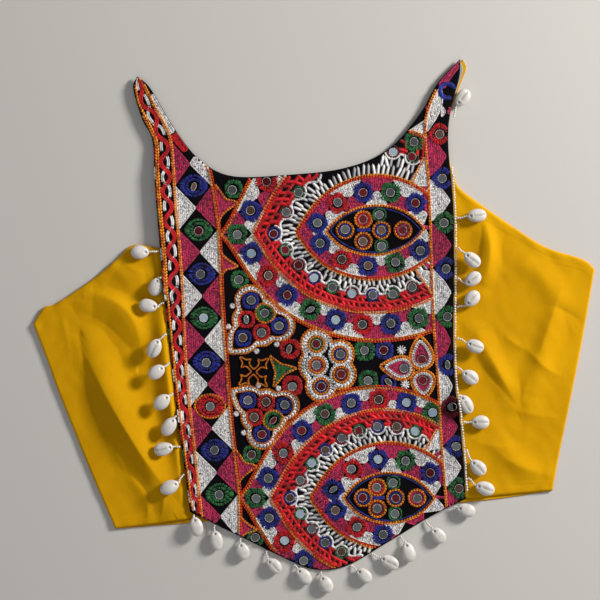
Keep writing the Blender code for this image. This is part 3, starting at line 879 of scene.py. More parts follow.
def flat_piece(name: str, outline: Array, floor: float, wall: float) -> Piece:
    """A flat cloth piece cut to an outline: two filled faces joined by a wall, its rim drawn in a little.

    The rim has three rings: the outline at the floor and at half the wall, and at the top a ring moved
    in by a quarter of the wall.

    Args:
        name: The piece's name.
        outline: Its corners, counter-clockwise seen from above or not.
        floor: Height of its underside.
        wall: Its thickness.
    """
    area = np.sum(outline[:, 0] * np.roll(outline[:, 1], -1) - np.roll(outline[:, 0], -1) * outline[:, 1])
    ring = outline if area > 0 else outline[::-1]
    count = len(ring)
    closed = np.vstack([ring[-1:], ring, ring[:1]])
    inner = ring + 0.25 * wall * square_to(closed)[1:-1]
    levels = ((ring, floor), (ring, floor + 0.55 * wall), (inner, floor + wall))
    points = np.vstack([np.column_stack([plan, np.full(count, z)]) for plan, z in levels])
    face = np.arange(count)[None]
    return make_mesh(name, points, [ring_quads(count, 2), face[:, ::-1], face + 2 * count], smooth=False)


def give(piece: Piece, material: object, slot: str, *nodes: str, mapped: bool = True) -> Piece:
    """Dress a piece and hand it to the frame: it rides on the one body and stands for its CAD nodes.

    Args:
        piece: The finished object.
        material: Its material.
        slot: The name of the record's slot for its finish; it is only logged.
        nodes: The CAD nodes that it replaces.
        mapped: Whether it is given its plan as a map for baking.
    """
    piece.data.materials.append(material)
    if mapped:
        plan_map(piece)
    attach(piece, "root")
    if nodes:
        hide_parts(*nodes)
    LOG.info("%s: %d faces, slot %s", piece.name, len(piece.data.polygons), slot)
    return piece


@dataclass
class EmbroideredGround:
    """The black cotton that carries the embroidery, and the pale lining at the right shoulder."""

    cells: tuple[int, int] = (150, 170)

    def build(self, effects: Effects) -> list[Piece]:
        """Build both pieces."""
        across, along = self.cells
        neck = even_line(NECKLINE, across)
        spots = (neck[:, 0] - neck[0, 0]) / (neck[-1, 0] - neck[0, 0])
        net = spread_net(
            neck, smooth_line(PANEL_LOWER, spots), even_line(PANEL_LEFT, along), even_line(PANEL_RIGHT, along)
        )
        x, y = net[..., 0], net[..., 1]
        bottom = panel_underside(x, y)
        rolled = ease(np.minimum.reduce(rim_distance(net)), 0.0, 1.4)
        top = bottom + (panel_top(x, y) - bottom) * (0.5 + 0.5 * rolled)
        ground = closed_sheet("embroidered_ground", net, bottom, top)
        give(ground, GROUND.material(effects), GROUND.slot, "front_panel")
        outline = np.vstack([even_line(LINING_OUTER, 30)[:-1], even_line(LINING_INNER, 30)[:-1]])
        lining = flat_piece("lining_right_shoulder", outline, SIDE_FLOOR, COTTON_WALL)
        give(lining, LINING.material(effects), LINING.slot, "strap_lining_right")
        return [ground, lining]


class Floss(Enum):
    """The colours of embroidery floss."""

    PINK = dyed("pink", (0.10, 0.001, 0.022), (0.66, 0.028, 0.125))
    WHITE = dyed("white", (0.30, 0.29, 0.31), (0.95, 0.93, 0.91))
    RED = dyed("red", (0.20, 0.001, 0.003), (0.76, 0.004, 0.012))
    MAROON = dyed("maroon", (0.05, 0.001, 0.006), (0.26, 0.004, 0.016))
    GREEN = dyed("green", (0.0004, 0.007, 0.003), (0.028, 0.22, 0.055))
    BLUE = dyed("blue", (0.0015, 0.002, 0.035), (0.018, 0.028, 0.38))
    ORANGE = dyed("orange", (0.34, 0.045, 0.001), (1.0, 0.34, 0.012))
    FLAME = dyed("flame", (0.36, 0.008, 0.001), (0.95, 0.065, 0.004))


class Glass(Enum):
    """The tints of the small sewn mirrors."""

    GREY = polished("mirror_grey", "mirror_glass", (0.13, 0.14, 0.14), (0.30, 0.32, 0.33), 0.22, 0.75)
    RUST = polished("mirror_rust", "mirror_glass", (0.10, 0.008, 0.012), (0.28, 0.03, 0.04), 0.25, 0.6)
    UMBER = polished("mirror_umber", "mirror_glass", (0.12, 0.07, 0.05), (0.30, 0.19, 0.15), 0.25, 0.7)
    SKY = polished("mirror_sky", "mirror_glass", (0.35, 0.48, 0.62), (0.62, 0.76, 0.85), 0.2, 0.5)


MIRROR_RADIUS = 3.35
MIRROR_SLANT = 0.035
STITCH_SHARES = np.array([0.0, 0.2, 0.2, 0.2, 0.8, 0.8, 0.8, 1.0])
STITCH_SIDES = np.array([0.0, -0.5, 0.0, 0.5, -0.5, 0.0, 0.5, 0.0])
STITCH_RISES = np.array([0.0, 0.05, 1.0, 0.05, 0.05, 1.0, 0.05, 0.0])
STITCH_QUADS = np.array([[1, 4, 5, 2], [2, 5, 6, 3], [3, 6, 4, 1]])
STITCH_ENDS = np.array([[0, 1, 2], [0, 2, 3], [0, 3, 1], [7, 5, 4], [7, 6, 5], [7, 4, 6]])


def turned(degrees: float | Array) -> Array:
    """Unit vectors at an angle from +X."""
    angle = np.radians(degrees)
    return np.stack([np.cos(angle), np.sin(angle)], -1)


def circle(x: float, y: float, radius: float | tuple[float, float], steps: int = 24) -> Array:
    """A closed ring of points round a centre; two radii make it an ellipse."""
    return (x, y) + turned(np.linspace(0, 360, steps + 1)) * radius


def panel_outline(inset: float) -> Array:
    """The panel's outline in plan, moved in by inset."""
    edges = (
        even_line(PANEL_LEFT, 34)[:-1],
        even_line(PANEL_LOWER, 28)[:-1],
        even_line(PANEL_RIGHT, 34)[::-1][:-1],
        even_line(NECKLINE, 36)[::-1][:-1],
    )
    ring = np.vstack(edges)
    closed = np.vstack([ring[-1:], ring, ring[:1]])
    return ring + inset * square_to(closed)[1:-1]


@dataclass
class Needlework:
    """Every stitch and mirror on the panel, gathered by colour until each becomes one mesh.

    A stitch is a spindle: a low three-sided ridge that tapers to a point at both ends.
    """

    rng: np.random.Generator = field(default_factory=lambda: np.random.default_rng(11))
    rows: dict[Floss, list[Array]] = field(default_factory=lambda: {floss: [] for floss in Floss})
    glasses: dict[Glass, list[Array]] = field(default_factory=lambda: {glass: [] for glass in Glass})
    discs: list[tuple[float, float, float]] = field(default_factory=list)
    edge: Array = field(default_factory=lambda: panel_outline(0.5))
    safe: Array = field(default_factory=lambda: panel_outline(3.6))
    field_edge: Array = field(default_factory=lambda: middle_field())
    bounded: bool = False
    closed: list[Array] = field(default_factory=list)

    def lay(
        self, floss: Floss, starts: Array, ends: Array, width: float, rise: float, lift: float,
        under: bool = False, tone: float = 0.5, spread: float = 0.31,
    ) -> None:
        """Lay stitches from starts to ends.

        Args:
            floss: Their colour.
            starts: Plan points where they come up.
            ends: Plan points where they go down.
            width: Their width.
            rise: Their height.
            lift: How far they lie above the cloth.
            under: Whether medallions cover them.
            tone: How light they are on average, from 0 to 1.
            spread: How much that differs from stitch to stitch.
        """
        if self.bounded:
            middle = (starts + ends) / 2
            held = inside(self.field_edge, middle[:, 0], middle[:, 1])
            for outline in self.closed:
                held &= ~inside(outline, middle[:, 0], middle[:, 1])
            starts, ends = starts[held], ends[held]
        count = len(starts)
        if count == 0:
            return
        made = np.empty((count, 9))
        made[:, 0:2], made[:, 2:4] = starts, ends
        made[:, 4:7] = width, rise, lift
        made[:, 7] = np.clip(self.rng.normal(tone, spread, count), 0, 1)
        made[:, 8] = under
        self.rows[floss].append(made)

    def fill(self, floss: Floss, outline: Array, heading: float, bounded: bool = True) -> None:
        """Fill an outline with columns of slanted stitches that lean the other way in every other column.

        Columns run along the heading, 1.55 apart, each stitch a little out of its place. A stitch is cut
        back to the part of it inside, and a fine cord of the same floss runs round the outline.

        Args:
            floss: The colour.
            outline: The outline's corners.
            heading: The columns' direction in degrees.
            bounded: Whether the stitches also stay inside the middle field.
        """
        outline = np.asarray(outline, float)
        column, pace, slant, length = 1.55, 0.95, 50.0, 2.35
        middle = (outline.min(0) + outline.max(0)) / 2
        reach = np.linalg.norm(outline - middle, axis=1).max()
        i = np.arange(-int(reach / column) - 1, int(reach / column) + 2)
        j = np.arange(-int(reach / pace) - 1, int(reach / pace) + 2)
        i, j = (axis.ravel() for axis in np.meshgrid(i, j, indexing="ij"))
        odd = i % 2
        along, over = turned(heading), turned(heading + 90)
        centre = middle + ((j + 0.5 * odd) * pace)[:, None] * along + (i * column)[:, None] * over
        centre = centre + self.rng.normal(0, 0.2, centre.shape)
        lean = turned(heading + slant * (1 - 2 * odd) + self.rng.normal(0, 11, len(i)))
        probes = centre[:, None] + np.linspace(-0.5, 0.5, 7)[:, None] * length * lean[:, None]
        within = inside(outline, probes[..., 0], probes[..., 1])
        if bounded:
            within &= inside(self.field_edge, probes[..., 0], probes[..., 1])
        kept = within.sum(1) >= 3
        probes, within = probes[kept], within[kept]
        each = np.arange(len(probes))
        first = within.argmax(1)
        last = 6 - within[:, ::-1].argmax(1)
        self.lay(floss, probes[each, first], probes[each, last], 1.32, 0.5, 0.0, under=True, spread=0.3)
        self.cord(floss, np.vstack([outline, outline[:1]]), 1.0, lift=0.12, dash=2.4, under=True)

    def chain(
        self, floss: Floss, path: Array, gauge: float = 2.0, pace: float = 2.3, lift: float = 0.3
    ) -> None:
        """A line of chain stitch: pairs of short stitches that lean in to the line, one pair to a pace.

        Args:
            floss: The colour.
            path: Plan points of the line.
            gauge: The line's width.
            pace: The length of a link.
            lift: How far it lies above the cloth.
        """
        line = paced(np.asarray(path, float), pace)
        square = square_to(line)
        run = np.diff(line, axis=0)
        for side in (1.0, -1.0):
            starts = line[:-1] - 0.04 * run + side * 0.46 * gauge * square[:-1]
            ends = line[1:] + 0.04 * run + side * 0.02 * gauge * square[1:]
            # Painted light and shade: stitches from the line's left are laid lighter, those from its right
            # darker.
            self.lay(floss, starts, ends, 0.56 * gauge, 0.8, lift, tone=0.56 + 0.2 * side)

    def double_chain(self, outer: Floss, inner: Floss, path: Array) -> None:
        """Two lines of chain stitch side by side, the second on the left of the first as it runs."""
        line = paced(np.asarray(path, float), 2.0)
        self.chain(outer, line, gauge=1.7)
        self.chain(inner, line + 1.75 * square_to(line), gauge=1.6)

    def cord(
        self, floss: Floss, path: Array, width: float, strands: int = 1, lift: float = 0.2, dash: float = 4.2,
        under: bool = False,
    ) -> None:
        """A laid cord: strands of stitches along a line, each overlapping the one before by half.

        Args:
            floss: The colour.
            path: Plan points of the line.
            width: The cord's whole width.
            strands: How many strands lie side by side.
            lift: How far it lies above the cloth.
            dash: The length of a stitch.
            under: Whether medallions cover it.
        """
        line = paced(np.asarray(path, float), dash / 2)
        square = square_to(line)
        for spot in (np.arange(strands) + 0.5) / strands - 0.5:
            moved = line + spot * width * square
            step = 2 if len(line) > 2 else 1
            self.lay(floss, moved[:-step], moved[step:], 1.15 * width / strands, 0.55, lift, under)

    def sector(
        self,
        floss: Floss,
        x: float,
        y: float,
        radii: Array,
        width: float,
        lift: float,
        aside: float | Array = 0.0,
    ) -> None:
        """Stitches spaced evenly round a centre, each from its inner to its outer radius.

        Args:
            floss: The colour.
            x, y: The centre's plan position.
            radii: Each stitch's inner and outer radius.
            width: Their width.
            lift: How far they lie above the cloth.
            aside: How far they are turned from their even places, in degrees.
        """
        out = turned(np.arange(len(radii)) * 360.0 / len(radii) + aside)
        self.lay(floss, (x, y) + radii[:, :1] * out, (x, y) + radii[:, 1:] * out, width, 0.5, lift)

    def medallion(
        self, floss: Floss, x: float, y: float, radius: float = 8.6, glass: Glass | None = None,
        square: float = 0.05, turn: float = 45.0, low: float = 1.0,
    ) -> None:
        """A mirror held by two rounds of floss that stand out from it.

        The outer radius is radius * (1 + square * cos 4(angle - turn)).

        Args:
            floss: The colour.
            x, y: The centre's plan position.
            radius: Its outer radius.
            glass: The mirror's tint, or None for one by chance.
            square: How far its corners stand out.
            turn: The direction of a corner in degrees.
            low: Its height as a share of its width.
        """
        if not inside(self.safe, x, y):
            return
        middle = (MIRROR_RADIUS + radius) / 2
        for count, inner, outer, width in (
            (int(2 * np.pi * middle / 1.25), MIRROR_RADIUS + 0.75, middle + 0.9, 0.95),
            (int(2 * np.pi * radius / 1.05), middle - 0.3, radius, 1.05),
        ):
            aside = self.rng.normal(0, 2.5, count)
            turns = np.arange(count) * 360.0 / count + aside
            swell = 1 + square * np.cos(np.radians(4 * (turns - turn))) if outer == radius else np.ones(count)
            swell = swell * np.hypot(np.cos(np.radians(turns)), low * np.sin(np.radians(turns)))
            radii = np.stack([np.full(count, inner), outer * swell], 1) + self.rng.normal(0, 0.14, (count, 2))
            self.sector(floss, x, y, radii, width, 0.35, aside)
        self.mirror(x, y, glass)
        self.discs.append((x, y, low * radius - 1.1))

    def mirror(self, x: float, y: float, glass: Glass | None = None) -> None:
        """One mirror with its thin pale rim. Its slant and its outline differ from one to the next.

        Args:
            x, y: The centre's plan position.
            glass: Its tint, or None for one by chance.
        """
        choice = self.rng.choice(4, p=(0.56, 0.17, 0.15, 0.12))
        tint = glass or tuple(Glass)[choice]
        shift = self.rng.normal(0, 0.35, 2)
        squeeze = 0.55 if self.rng.random() < 0.07 else self.rng.uniform(0.92, 1.0)
        slant, chance = self.rng.uniform(0, 180), self.rng.random()
        facts = (x + shift[0], y + shift[1], MIRROR_RADIUS, squeeze, slant, chance)
        self.glasses[tint].append(np.array(facts))
        tilt = turned(slant)
        frame = np.array([tilt, [-tilt[1], tilt[0]]])
        oval = turned(np.linspace(0, 360, 15)) * (MIRROR_RADIUS + 0.15) * (1.0, squeeze)
        ring = oval @ frame + np.array(facts[:2])
        self.lay(Floss.WHITE, ring[:-1], ring[1:], 0.42, 0.4, 0.35)

    def dot(self, x: float, y: float, radius: float) -> None:
        """A small white knot: ten stitches that meet at its centre."""
        self.sector(Floss.WHITE, x, y, np.tile([0.0, radius], (10, 1)), 1.1, 0.35)

    def ringed(
        self, floss: Floss, ring: Floss, x: float, y: float,
        radius: float = 5.4, glass: Glass | None = None,
    ) -> None:
        """A small mirror with one round of floss inside a ring of chain stitch."""
        radii = np.tile([MIRROR_RADIUS + 0.3, radius], (int(2 * np.pi * radius / 1.05), 1))
        self.sector(floss, x, y, radii, 1.0, 0.15)
        self.chain(ring, circle(x, y, radius + 1.1), gauge=1.7)
        self.mirror(x, y, glass)
        self.discs.append((x, y, radius + 0.8))

    def stitch_mesh(self, floss: Floss) -> Piece:
        """One colour's stitches as a mesh, those off the cloth or under a medallion left out.

        Corners stand at fixed shares of a stitch's length, width and rise above the cloth. Each stitch's
        random tone is raised on its crest and lowered at its sides and tips: painted highlight and painted
        shade.
        """
        rows = np.vstack(self.rows[floss])
        centre = (rows[:, 0:2] + rows[:, 2:4]) / 2
        kept = inside(self.edge, rows[:, 0], rows[:, 1]) & inside(self.edge, rows[:, 2], rows[:, 3])
        discs = np.array(self.discs)
        away = np.hypot(centre[:, :1] - discs[:, 0], centre[:, 1:] - discs[:, 1])
        kept &= ~((rows[:, 8] > 0) & (away < discs[:, 2]).any(1))
        rows = rows[kept]
        start, run = rows[:, None, 0:2], rows[:, None, 2:4] - rows[:, None, 0:2]
        length = np.maximum(np.linalg.norm(run, axis=2, keepdims=True), 1e-6)
        left = np.concatenate([-run[..., 1:], run[..., :1]], 2) / length
        plan = start + STITCH_SHARES[:, None] * run + (STITCH_SIDES * rows[:, 4:5])[..., None] * left
        level = panel_top(plan[..., 0], plan[..., 1])
        height = level + rows[:, 6:7] + STITCH_RISES * rows[:, 5:6] - 0.05
        points = np.concatenate([plan, height[..., None]], 2).reshape(-1, 3)
        first = 8 * np.arange(len(rows))[:, None, None]
        faces = [(first + STITCH_QUADS).reshape(-1, 4), (first + STITCH_ENDS).reshape(-1, 3)]
        piece = make_mesh(floss.value.name, points, faces)
        # Painted highlight and shade: corners on the crest are lighter, those at the sides and tips darker.
        tone = np.repeat(rows[:, 7], 8).reshape(-1, 8) + 0.34 * (STITCH_RISES - 0.6)
        point_values(piece, SHADE, tone)
        return piece

    def glass_mesh(self, glass: Glass) -> Piece:
        """One tint's mirrors as a mesh of low closed domes, each slanted a little.

        A dome is three rings of 16 points, the upper one at 0.86 of its radius; its slant is a plane.
        """
        facts = np.array(self.glasses[glass])
        sides = 16
        ring = turned(np.arange(sides) * 360.0 / sides)
        unit = np.vstack([ring, ring, 0.86 * ring, [[0.0, 0.0]]])
        rise = np.concatenate([np.full(sides, -0.1), np.full(sides, 0.30), np.full(sides, 0.48), [0.52]])
        tilt = turned(facts[:, 4])
        own = unit * facts[:, 2:3, None] * np.stack([np.ones(len(facts)), facts[:, 3]], 1)[:, None]
        across = own[..., :1] * tilt[:, None] + own[..., 1:] * np.stack([-tilt[:, 1], tilt[:, 0]], 1)[:, None]
        plan = facts[:, None, 0:2] + across
        base = panel_top(facts[:, 0], facts[:, 1])[:, None]
        chance = facts[:, 5:6]
        slant = MIRROR_SLANT * own[..., 0] * np.sin(9 * chance)
        slant = slant + MIRROR_SLANT * own[..., 1] * np.cos(7 * chance)
        points = np.concatenate([plan, (base + rise + slant)[..., None]], 2).reshape(-1, 3)
        here = np.arange(sides)
        after = np.roll(here, -1)
        cap = np.stack([here + 2 * sides, after + 2 * sides, np.full(sides, 3 * sides)], 1)
        first = (3 * sides + 1) * np.arange(len(facts))[:, None, None]
        quads = (first + ring_quads(sides, 2)).reshape(-1, 4)
        faces = [quads, (first + cap).reshape(-1, 3), (first[:, 0] + here[::-1]).reshape(-1, sides)]
        piece = make_mesh(glass.value.name, points, faces, smooth=False)
        point_values(piece, SHADE, np.repeat(facts[:, 5], 3 * sides + 1))
        return piece

    def build(self, effects: Effects) -> list[Piece]:
        """Make each colour's mesh and each tint's, and dress them."""
        made = [(self.stitch_mesh(floss), floss.value) for floss in Floss if self.rows[floss]]
        made += [(self.glass_mesh(glass), glass.value) for glass in Glass if self.glasses[glass]]
        return [give(piece, finish.material(effects), finish.slot) for piece, finish in made]


INNER_LINE = [
    (-139.4, 199.6), (-136.5, 194.0), (-127.5, 176.0), (-116.0, 153.0), (-113.0, 130.0), (-111.0, 99.0),
    (-108.0, 67.0), (-105.4, 30.0), (-103.8, -10.0), (-101.0, -50.0), (-96.4, -93.0), (-91.5, -138.0),
    (-90.0, -152.0),
]
OUTER_LINE = [
    (-141.9, 199.2), (-143.6, 193.0), (-140.5, 178.0), (-131.6, 160.5), (-126.2, 147.0), (-125.4, 125.0),
    (-123.4, 95.0), (-120.2, 61.0), (-117.4, 20.0), (-112.6, -30.0), (-107.8, -70.0), (-98.0, -146.0),
]
LEFT_LINE = [
    (-88.0, 134.0), (-84.0, 124.0), (-78.4, 92.0), (-75.8, 62.0), (-74.0, 20.0), (-70.6, -26.0),
    (-66.6, -78.0), (-60.5, -132.0), (-60.0, -165.0),
]
RIGHT_LINE = [
    (104.0, 200.0), (96.0, 186.0), (89.6, 168.0), (89.2, 146.0), (92.2, 108.0), (94.0, 50.0),
    (96.0, 0.0), (99.4, -46.0), (102.2, -96.0), (106.0, -144.0),
]


def line_at(points: Sequence, y: float | Array) -> Array:
    """Where a line that runs down the panel is at a height y, as plan points."""
    line = even_line(points, 160)[::-1]
    y = np.asarray(y, float)
    return np.stack([np.interp(y, line[:, 1], line[:, 0]), y], -1)


def neck_strip(span: tuple, near: tuple, far: tuple, right: bool = False) -> Array:
    """A strip beside the neckline, on its left branch or its right one.

    Args:
        span: The heights y where it starts and ends.
        near: Its nearer side's distance from the neckline at the two.
        far: Its farther side's distance at the two.
        right: Whether it lies on the right branch.
    """
    neck = even_line(NECKLINE, 400)
    branch = neck[200:] if right else neck[:200][::-1]
    square = -square_to(neck)[200:] if right else -square_to(neck)[:200][::-1]
    y = np.linspace(*span, 20)
    here = np.stack([np.interp(y, branch[:, 1], branch[:, 0]), y], 1)
    way = np.stack([np.interp(y, branch[:, 1], square[:, i]) for i in range(2)], 1)
    inner, outer = (here + np.linspace(*side, 20)[:, None] * way for side in (near, far))
    return np.vstack([inner, outer[::-1]])


def middle_field() -> Array:
    """The outline of the middle field: between the left and right lines, from neckline to lower edge."""
    left, right = even_line(LEFT_LINE, 30), even_line(RIGHT_LINE, 30)
    return np.vstack([left, [(-60.0, -220.0), (106.0, -220.0)], right[::-1], [(60.0, 240.0), (-88.0, 240.0)]])


class Oval(NamedTuple):
    """One pointed oval: its centre, its half length, its half heights and how sharp its tip is."""

    centre: float
    length: float
    above: float
    below: float
    tip: float = 0.5


@dataclass(frozen=True)
class Ogive:
    """A family of pointed ovals with their tips to the left, between an outer and an inner one.

    A point is x = centre - length cos(turn), y = axis + tilt (x - 48) +- height swell(turn), where
    swell = sin(turn)^(1.5 + tip cos(turn)^6), so the sides are straight where they meet at a tip. The
    five numbers of an oval are blended by share.
    """

    axis: float
    outer: Oval
    inner: Oval
    tilt: float = 0.0

    @staticmethod
    def swell(turn: Array, tip: float | Array) -> Array:
        """The share of the half height that an oval has at each turn."""
        return np.sin(turn) ** (1.5 + tip * np.cos(turn) ** 6)

    def at(self, arc: float | Array, share: float | Array) -> Array:
        """Plan points by arc, the distance from the tip along the middle oval, and share.

        Args:
            arc: Above the axis if positive, below if negative.
            share: 0 on the outer oval, 1 on the inner.
        """
        arc, share = np.asarray(arc, float), np.asarray(share, float)
        centre, length, above, below, tip = (
            one + (other - one) * share for one, other in zip(self.outer, self.inner)
        )
        middle = Oval(*(np.array(self.outer) + np.array(self.inner)) / 2)
        turn = np.linspace(0, np.pi, 400)
        line = np.stack([-middle.length * np.cos(turn), middle.below * self.swell(turn, middle.tip)], 1)
        angle = np.interp(np.abs(arc), line_lengths(line), turn)
        x = centre - length * np.cos(angle)
        height = np.where(arc > 0, above, -below) * self.swell(angle, tip)
        return np.stack([x, self.axis + self.tilt * (x - 48.0) + height], -1)

    def path(self, share: float | Array, reach: tuple[float, float], steps: int = 160) -> Array:
        """The oval at a share, from reach[0] below the tip to reach[1] above it."""
        return self.at(np.linspace(reach[0], reach[1], steps), share)

    def heading(self, arc: float) -> float:
        """Direction of the middle oval at an arc, in degrees."""
        step = self.at(arc + 1.0, 0.5) - self.at(arc - 1.0, 0.5)
        return float(np.degrees(np.arctan2(step[1], step[0])))


@dataclass
class MirrorOgive:
    """One of the two great pointed ovals: an outer ring, a lace zone, an inner ring and an eye."""

    axis: float
    outer: Oval
    lace: Oval
    inner: Oval
    eye: Oval
    caps: tuple[tuple[Floss, tuple], ...] = ()
    reach: tuple[float, float] = (-200.0, 200.0)
    pace: float = 16.2
    tilt: float = 0.0
    nose: float = -24.0
    colours: tuple[Floss, ...] = (Floss.GREEN, Floss.BLUE, Floss.RED, Floss.BLUE)

    def ring(
        self, work: Needlework, family: Ogive, arcs: Array,
        colours: Sequence[Floss], radius: float, swap: int,
    ) -> None:
        """Medallions along a ring with a pair of triangles, pink and white, between each two.

        One triangle stands on the outer line and one on the inner, and their points meet midway.

        Args:
            family: The ring's ovals.
            arcs: Where the medallions sit.
            colours: Their colours, repeated as needed and counted from the tip.
            radius: Their radius.
            swap: 0 or 1, for which triangle starts pink.
        """
        pair = (Floss.PINK, Floss.WHITE)
        for number, arc in enumerate(arcs):
            x, y = family.at(arc, 0.5)
            if x < line_at(RIGHT_LINE, y)[0] - 3.5 and y < 136.0:
                rank = int(abs(number - (len(arcs) - 1) / 2))
                work.medallion(
                    colours[rank % len(colours)], x, y, radius, square=0.09, turn=family.heading(arc) + 45
                )
        for number, (low, high) in enumerate(zip(arcs, arcs[1:])):
            mid, half = (low + high) / 2, (high - low) / 2
            rank = int(abs(number - (len(arcs) - 2) / 2))
            rank = max(rank, 1) + 1 if swap else rank
            for base, apex, floss in ((0.04, 0.49, pair[rank % 2]), (0.96, 0.51, pair[1 - rank % 2])):
                arc = mid + half * np.array([-1.0, -0.66, -0.33, 0.0, 0.33, 0.66, 1.0, 0.12, -0.12])
                work.fill(floss, family.at(arc, np.array([base] * 7 + [apex] * 2)), family.heading(mid) + 90)

    def rays(
        self, work: Needlework, family: Ogive, floss: Floss, span: tuple[float, float],
        pace: float, width: float, number: int,
    ) -> None:
        """A row of strands across part of the lace zone, every other row set half a pace on; red ones lean.

        Args:
            family: The zone's ovals.
            floss: The colour.
            span: The shares where the row starts and ends.
            pace: The distance between strands.
            width: Their width.
            number: The row's number.
        """
        spots = np.arange(*self.reach, pace) + 0.5 * pace * (number % 2)
        lean = 0.5 * pace if floss is Floss.RED else 0.0
        ends = [
            family.at(
                spots + aside + work.rng.normal(0, 0.15 * pace, len(spots)),
                share + work.rng.normal(0, 0.008, len(spots)),
            )
            for aside, share in zip((0.0, lean), span)
        ]
        run = ends[1] - ends[0]
        work.lay(floss, ends[0] - 0.22 * run, ends[1] + 0.22 * run, width, 0.6, 0.05, under=True)

    def net(self, work: Needlework, family: Ogive) -> None:
        """The lace zone: a dense red net outside the small mirrors and an open white one inside them.

        Rows of strands stand between cords. The cord where the two meet swings round the mirrors:
        share = 0.55 + 0.08 cos(2 pi arc / pace).

        Args:
            family: The zone's ovals.
        """
        for number, span in enumerate(((0.05, 0.22), (0.22, 0.39))):
            self.rays(work, family, Floss.RED, span, 4.1, 3.3, number)
        for share in (0.05, 0.22, 0.39):
            work.cord(Floss.RED, family.path(share, self.reach), 2.7, lift=0.1, under=True)
        arcs = np.linspace(*self.reach, 400)
        swing = np.cos(2 * np.pi * arcs / self.pace)
        meeting = family.at(arcs, 0.48 + 0.02 * swing)
        work.cord(Floss.RED, meeting, 2.6, strands=2, lift=0.1, dash=3.0, under=True)
        for number, (low, high) in enumerate(((0.57, 0.76), (0.76, 0.95))):
            self.rays(work, family, Floss.WHITE, (low, high), 4.7, 2.5, number)
        work.cord(Floss.WHITE, family.at(arcs, 0.55 + 0.08 * swing), 2.0, lift=0.15, dash=3.0, under=True)
        tones = (Floss.BLUE, Floss.MAROON, Floss.GREEN)
        for number in range(-11, 12):
            x, y = family.at(self.pace * number, 0.46)
            held = x < line_at(RIGHT_LINE, y)[0] - 6.5 and inside(work.safe, x, y)
            if not held or any(inside(outline, x + 5.0, y) for outline in work.closed):
                continue
            work.sector(tones[number % 3], x, y, np.tile([MIRROR_RADIUS + 0.2, 5.4], (26, 1)), 1.0, 0.15)
            facing = family.heading(self.pace * number) - 90
            white = (x, y) + 6.2 * turned(facing + np.linspace(-90, 90, 15))
            work.cord(Floss.WHITE, white, 1.5, lift=0.3, dash=3.0)
            work.mirror(x, y)
            work.discs.append((x, y, 5.9))

    def eye_rings(self, work: Needlework) -> None:
        """The eye's ringed mirrors: five in a cross along the axis and two plain green ones."""
        layout = (
            (self.nose, 0.0, Floss.BLUE), (-9.3, 8.5, Floss.RED), (-9.3, -8.7, Floss.MAROON),
            (5.2, 0.0, Floss.BLUE), (22.4, 0.0, Floss.PINK),
        )
        for dx, dy, floss in layout:
            work.ringed(floss, Floss.ORANGE, self.eye.centre + dx, self.axis + dy, 5.6)
        for dx, dy in ((3.6, 12.4), (5.0, -12.8)):
            work.medallion(Floss.GREEN, self.eye.centre + dx, self.axis + dy, 6.0, Glass.GREY)
        for dy in (-0.5, 0.8):
            ends = [(self.eye.centre + dx, self.axis + dy) for dx in (-15.0, -3.0)]
            work.cord(Floss.BLUE, ends, 1.3)

    def build(self, work: Needlework) -> None:
        """Stitch the whole oval."""
        work.bounded = True
        work.closed = [np.array(outline) for _, outline in self.caps if len(outline) == 4]
        pairs = ((self.outer, self.lace), (self.lace, self.inner), (self.inner, self.eye))
        ring, net, core = (Ogive(self.axis, *pair, self.tilt) for pair in pairs)
        steps = 22.3 * np.arange(1, 10)
        self.ring(work, ring, np.concatenate([2.8 - steps[::-1], [0.0], steps - 4.2]), self.colours, 9.0, 0)
        self.net(work, net)
        work.closed = []
        steps = 22.0 * np.arange(7)
        tones = (Floss.BLUE, Floss.RED, Floss.BLUE, Floss.GREEN, Floss.BLUE)
        self.ring(work, core, np.concatenate([-11.6 - steps[::-1], 7.8 + steps]), tones, 8.6, 1)
        for floss, outline in self.caps:
            work.fill(floss, np.array(outline), 75.0)
            if len(outline) == 4:
                work.chain(Floss.ORANGE, np.array(outline[:2]), gauge=2.0)
        for family in (ring, net, core):
            lines = (Floss.ORANGE, Floss.FLAME) if family is ring else (Floss.FLAME, Floss.ORANGE)
            for half in ((0.0, self.reach[1]), (self.reach[0], 0.0)):
                work.double_chain(*lines, family.path(0.0, half))
        work.chain(Floss.ORANGE, core.path(1.0, (-130.0, 130.0), 220), gauge=2.2)
        centre, length, above, below, tip = self.eye
        inner = Oval(centre, length - 3.0, above - 2.0, below - 2.0, tip)
        work.cord(Floss.BLUE, Ogive(self.axis, inner, inner).path(1.0, (-130.0, 130.0), 220), 1.0, lift=0.1)
        self.eye_rings(work)
        work.bounded = False


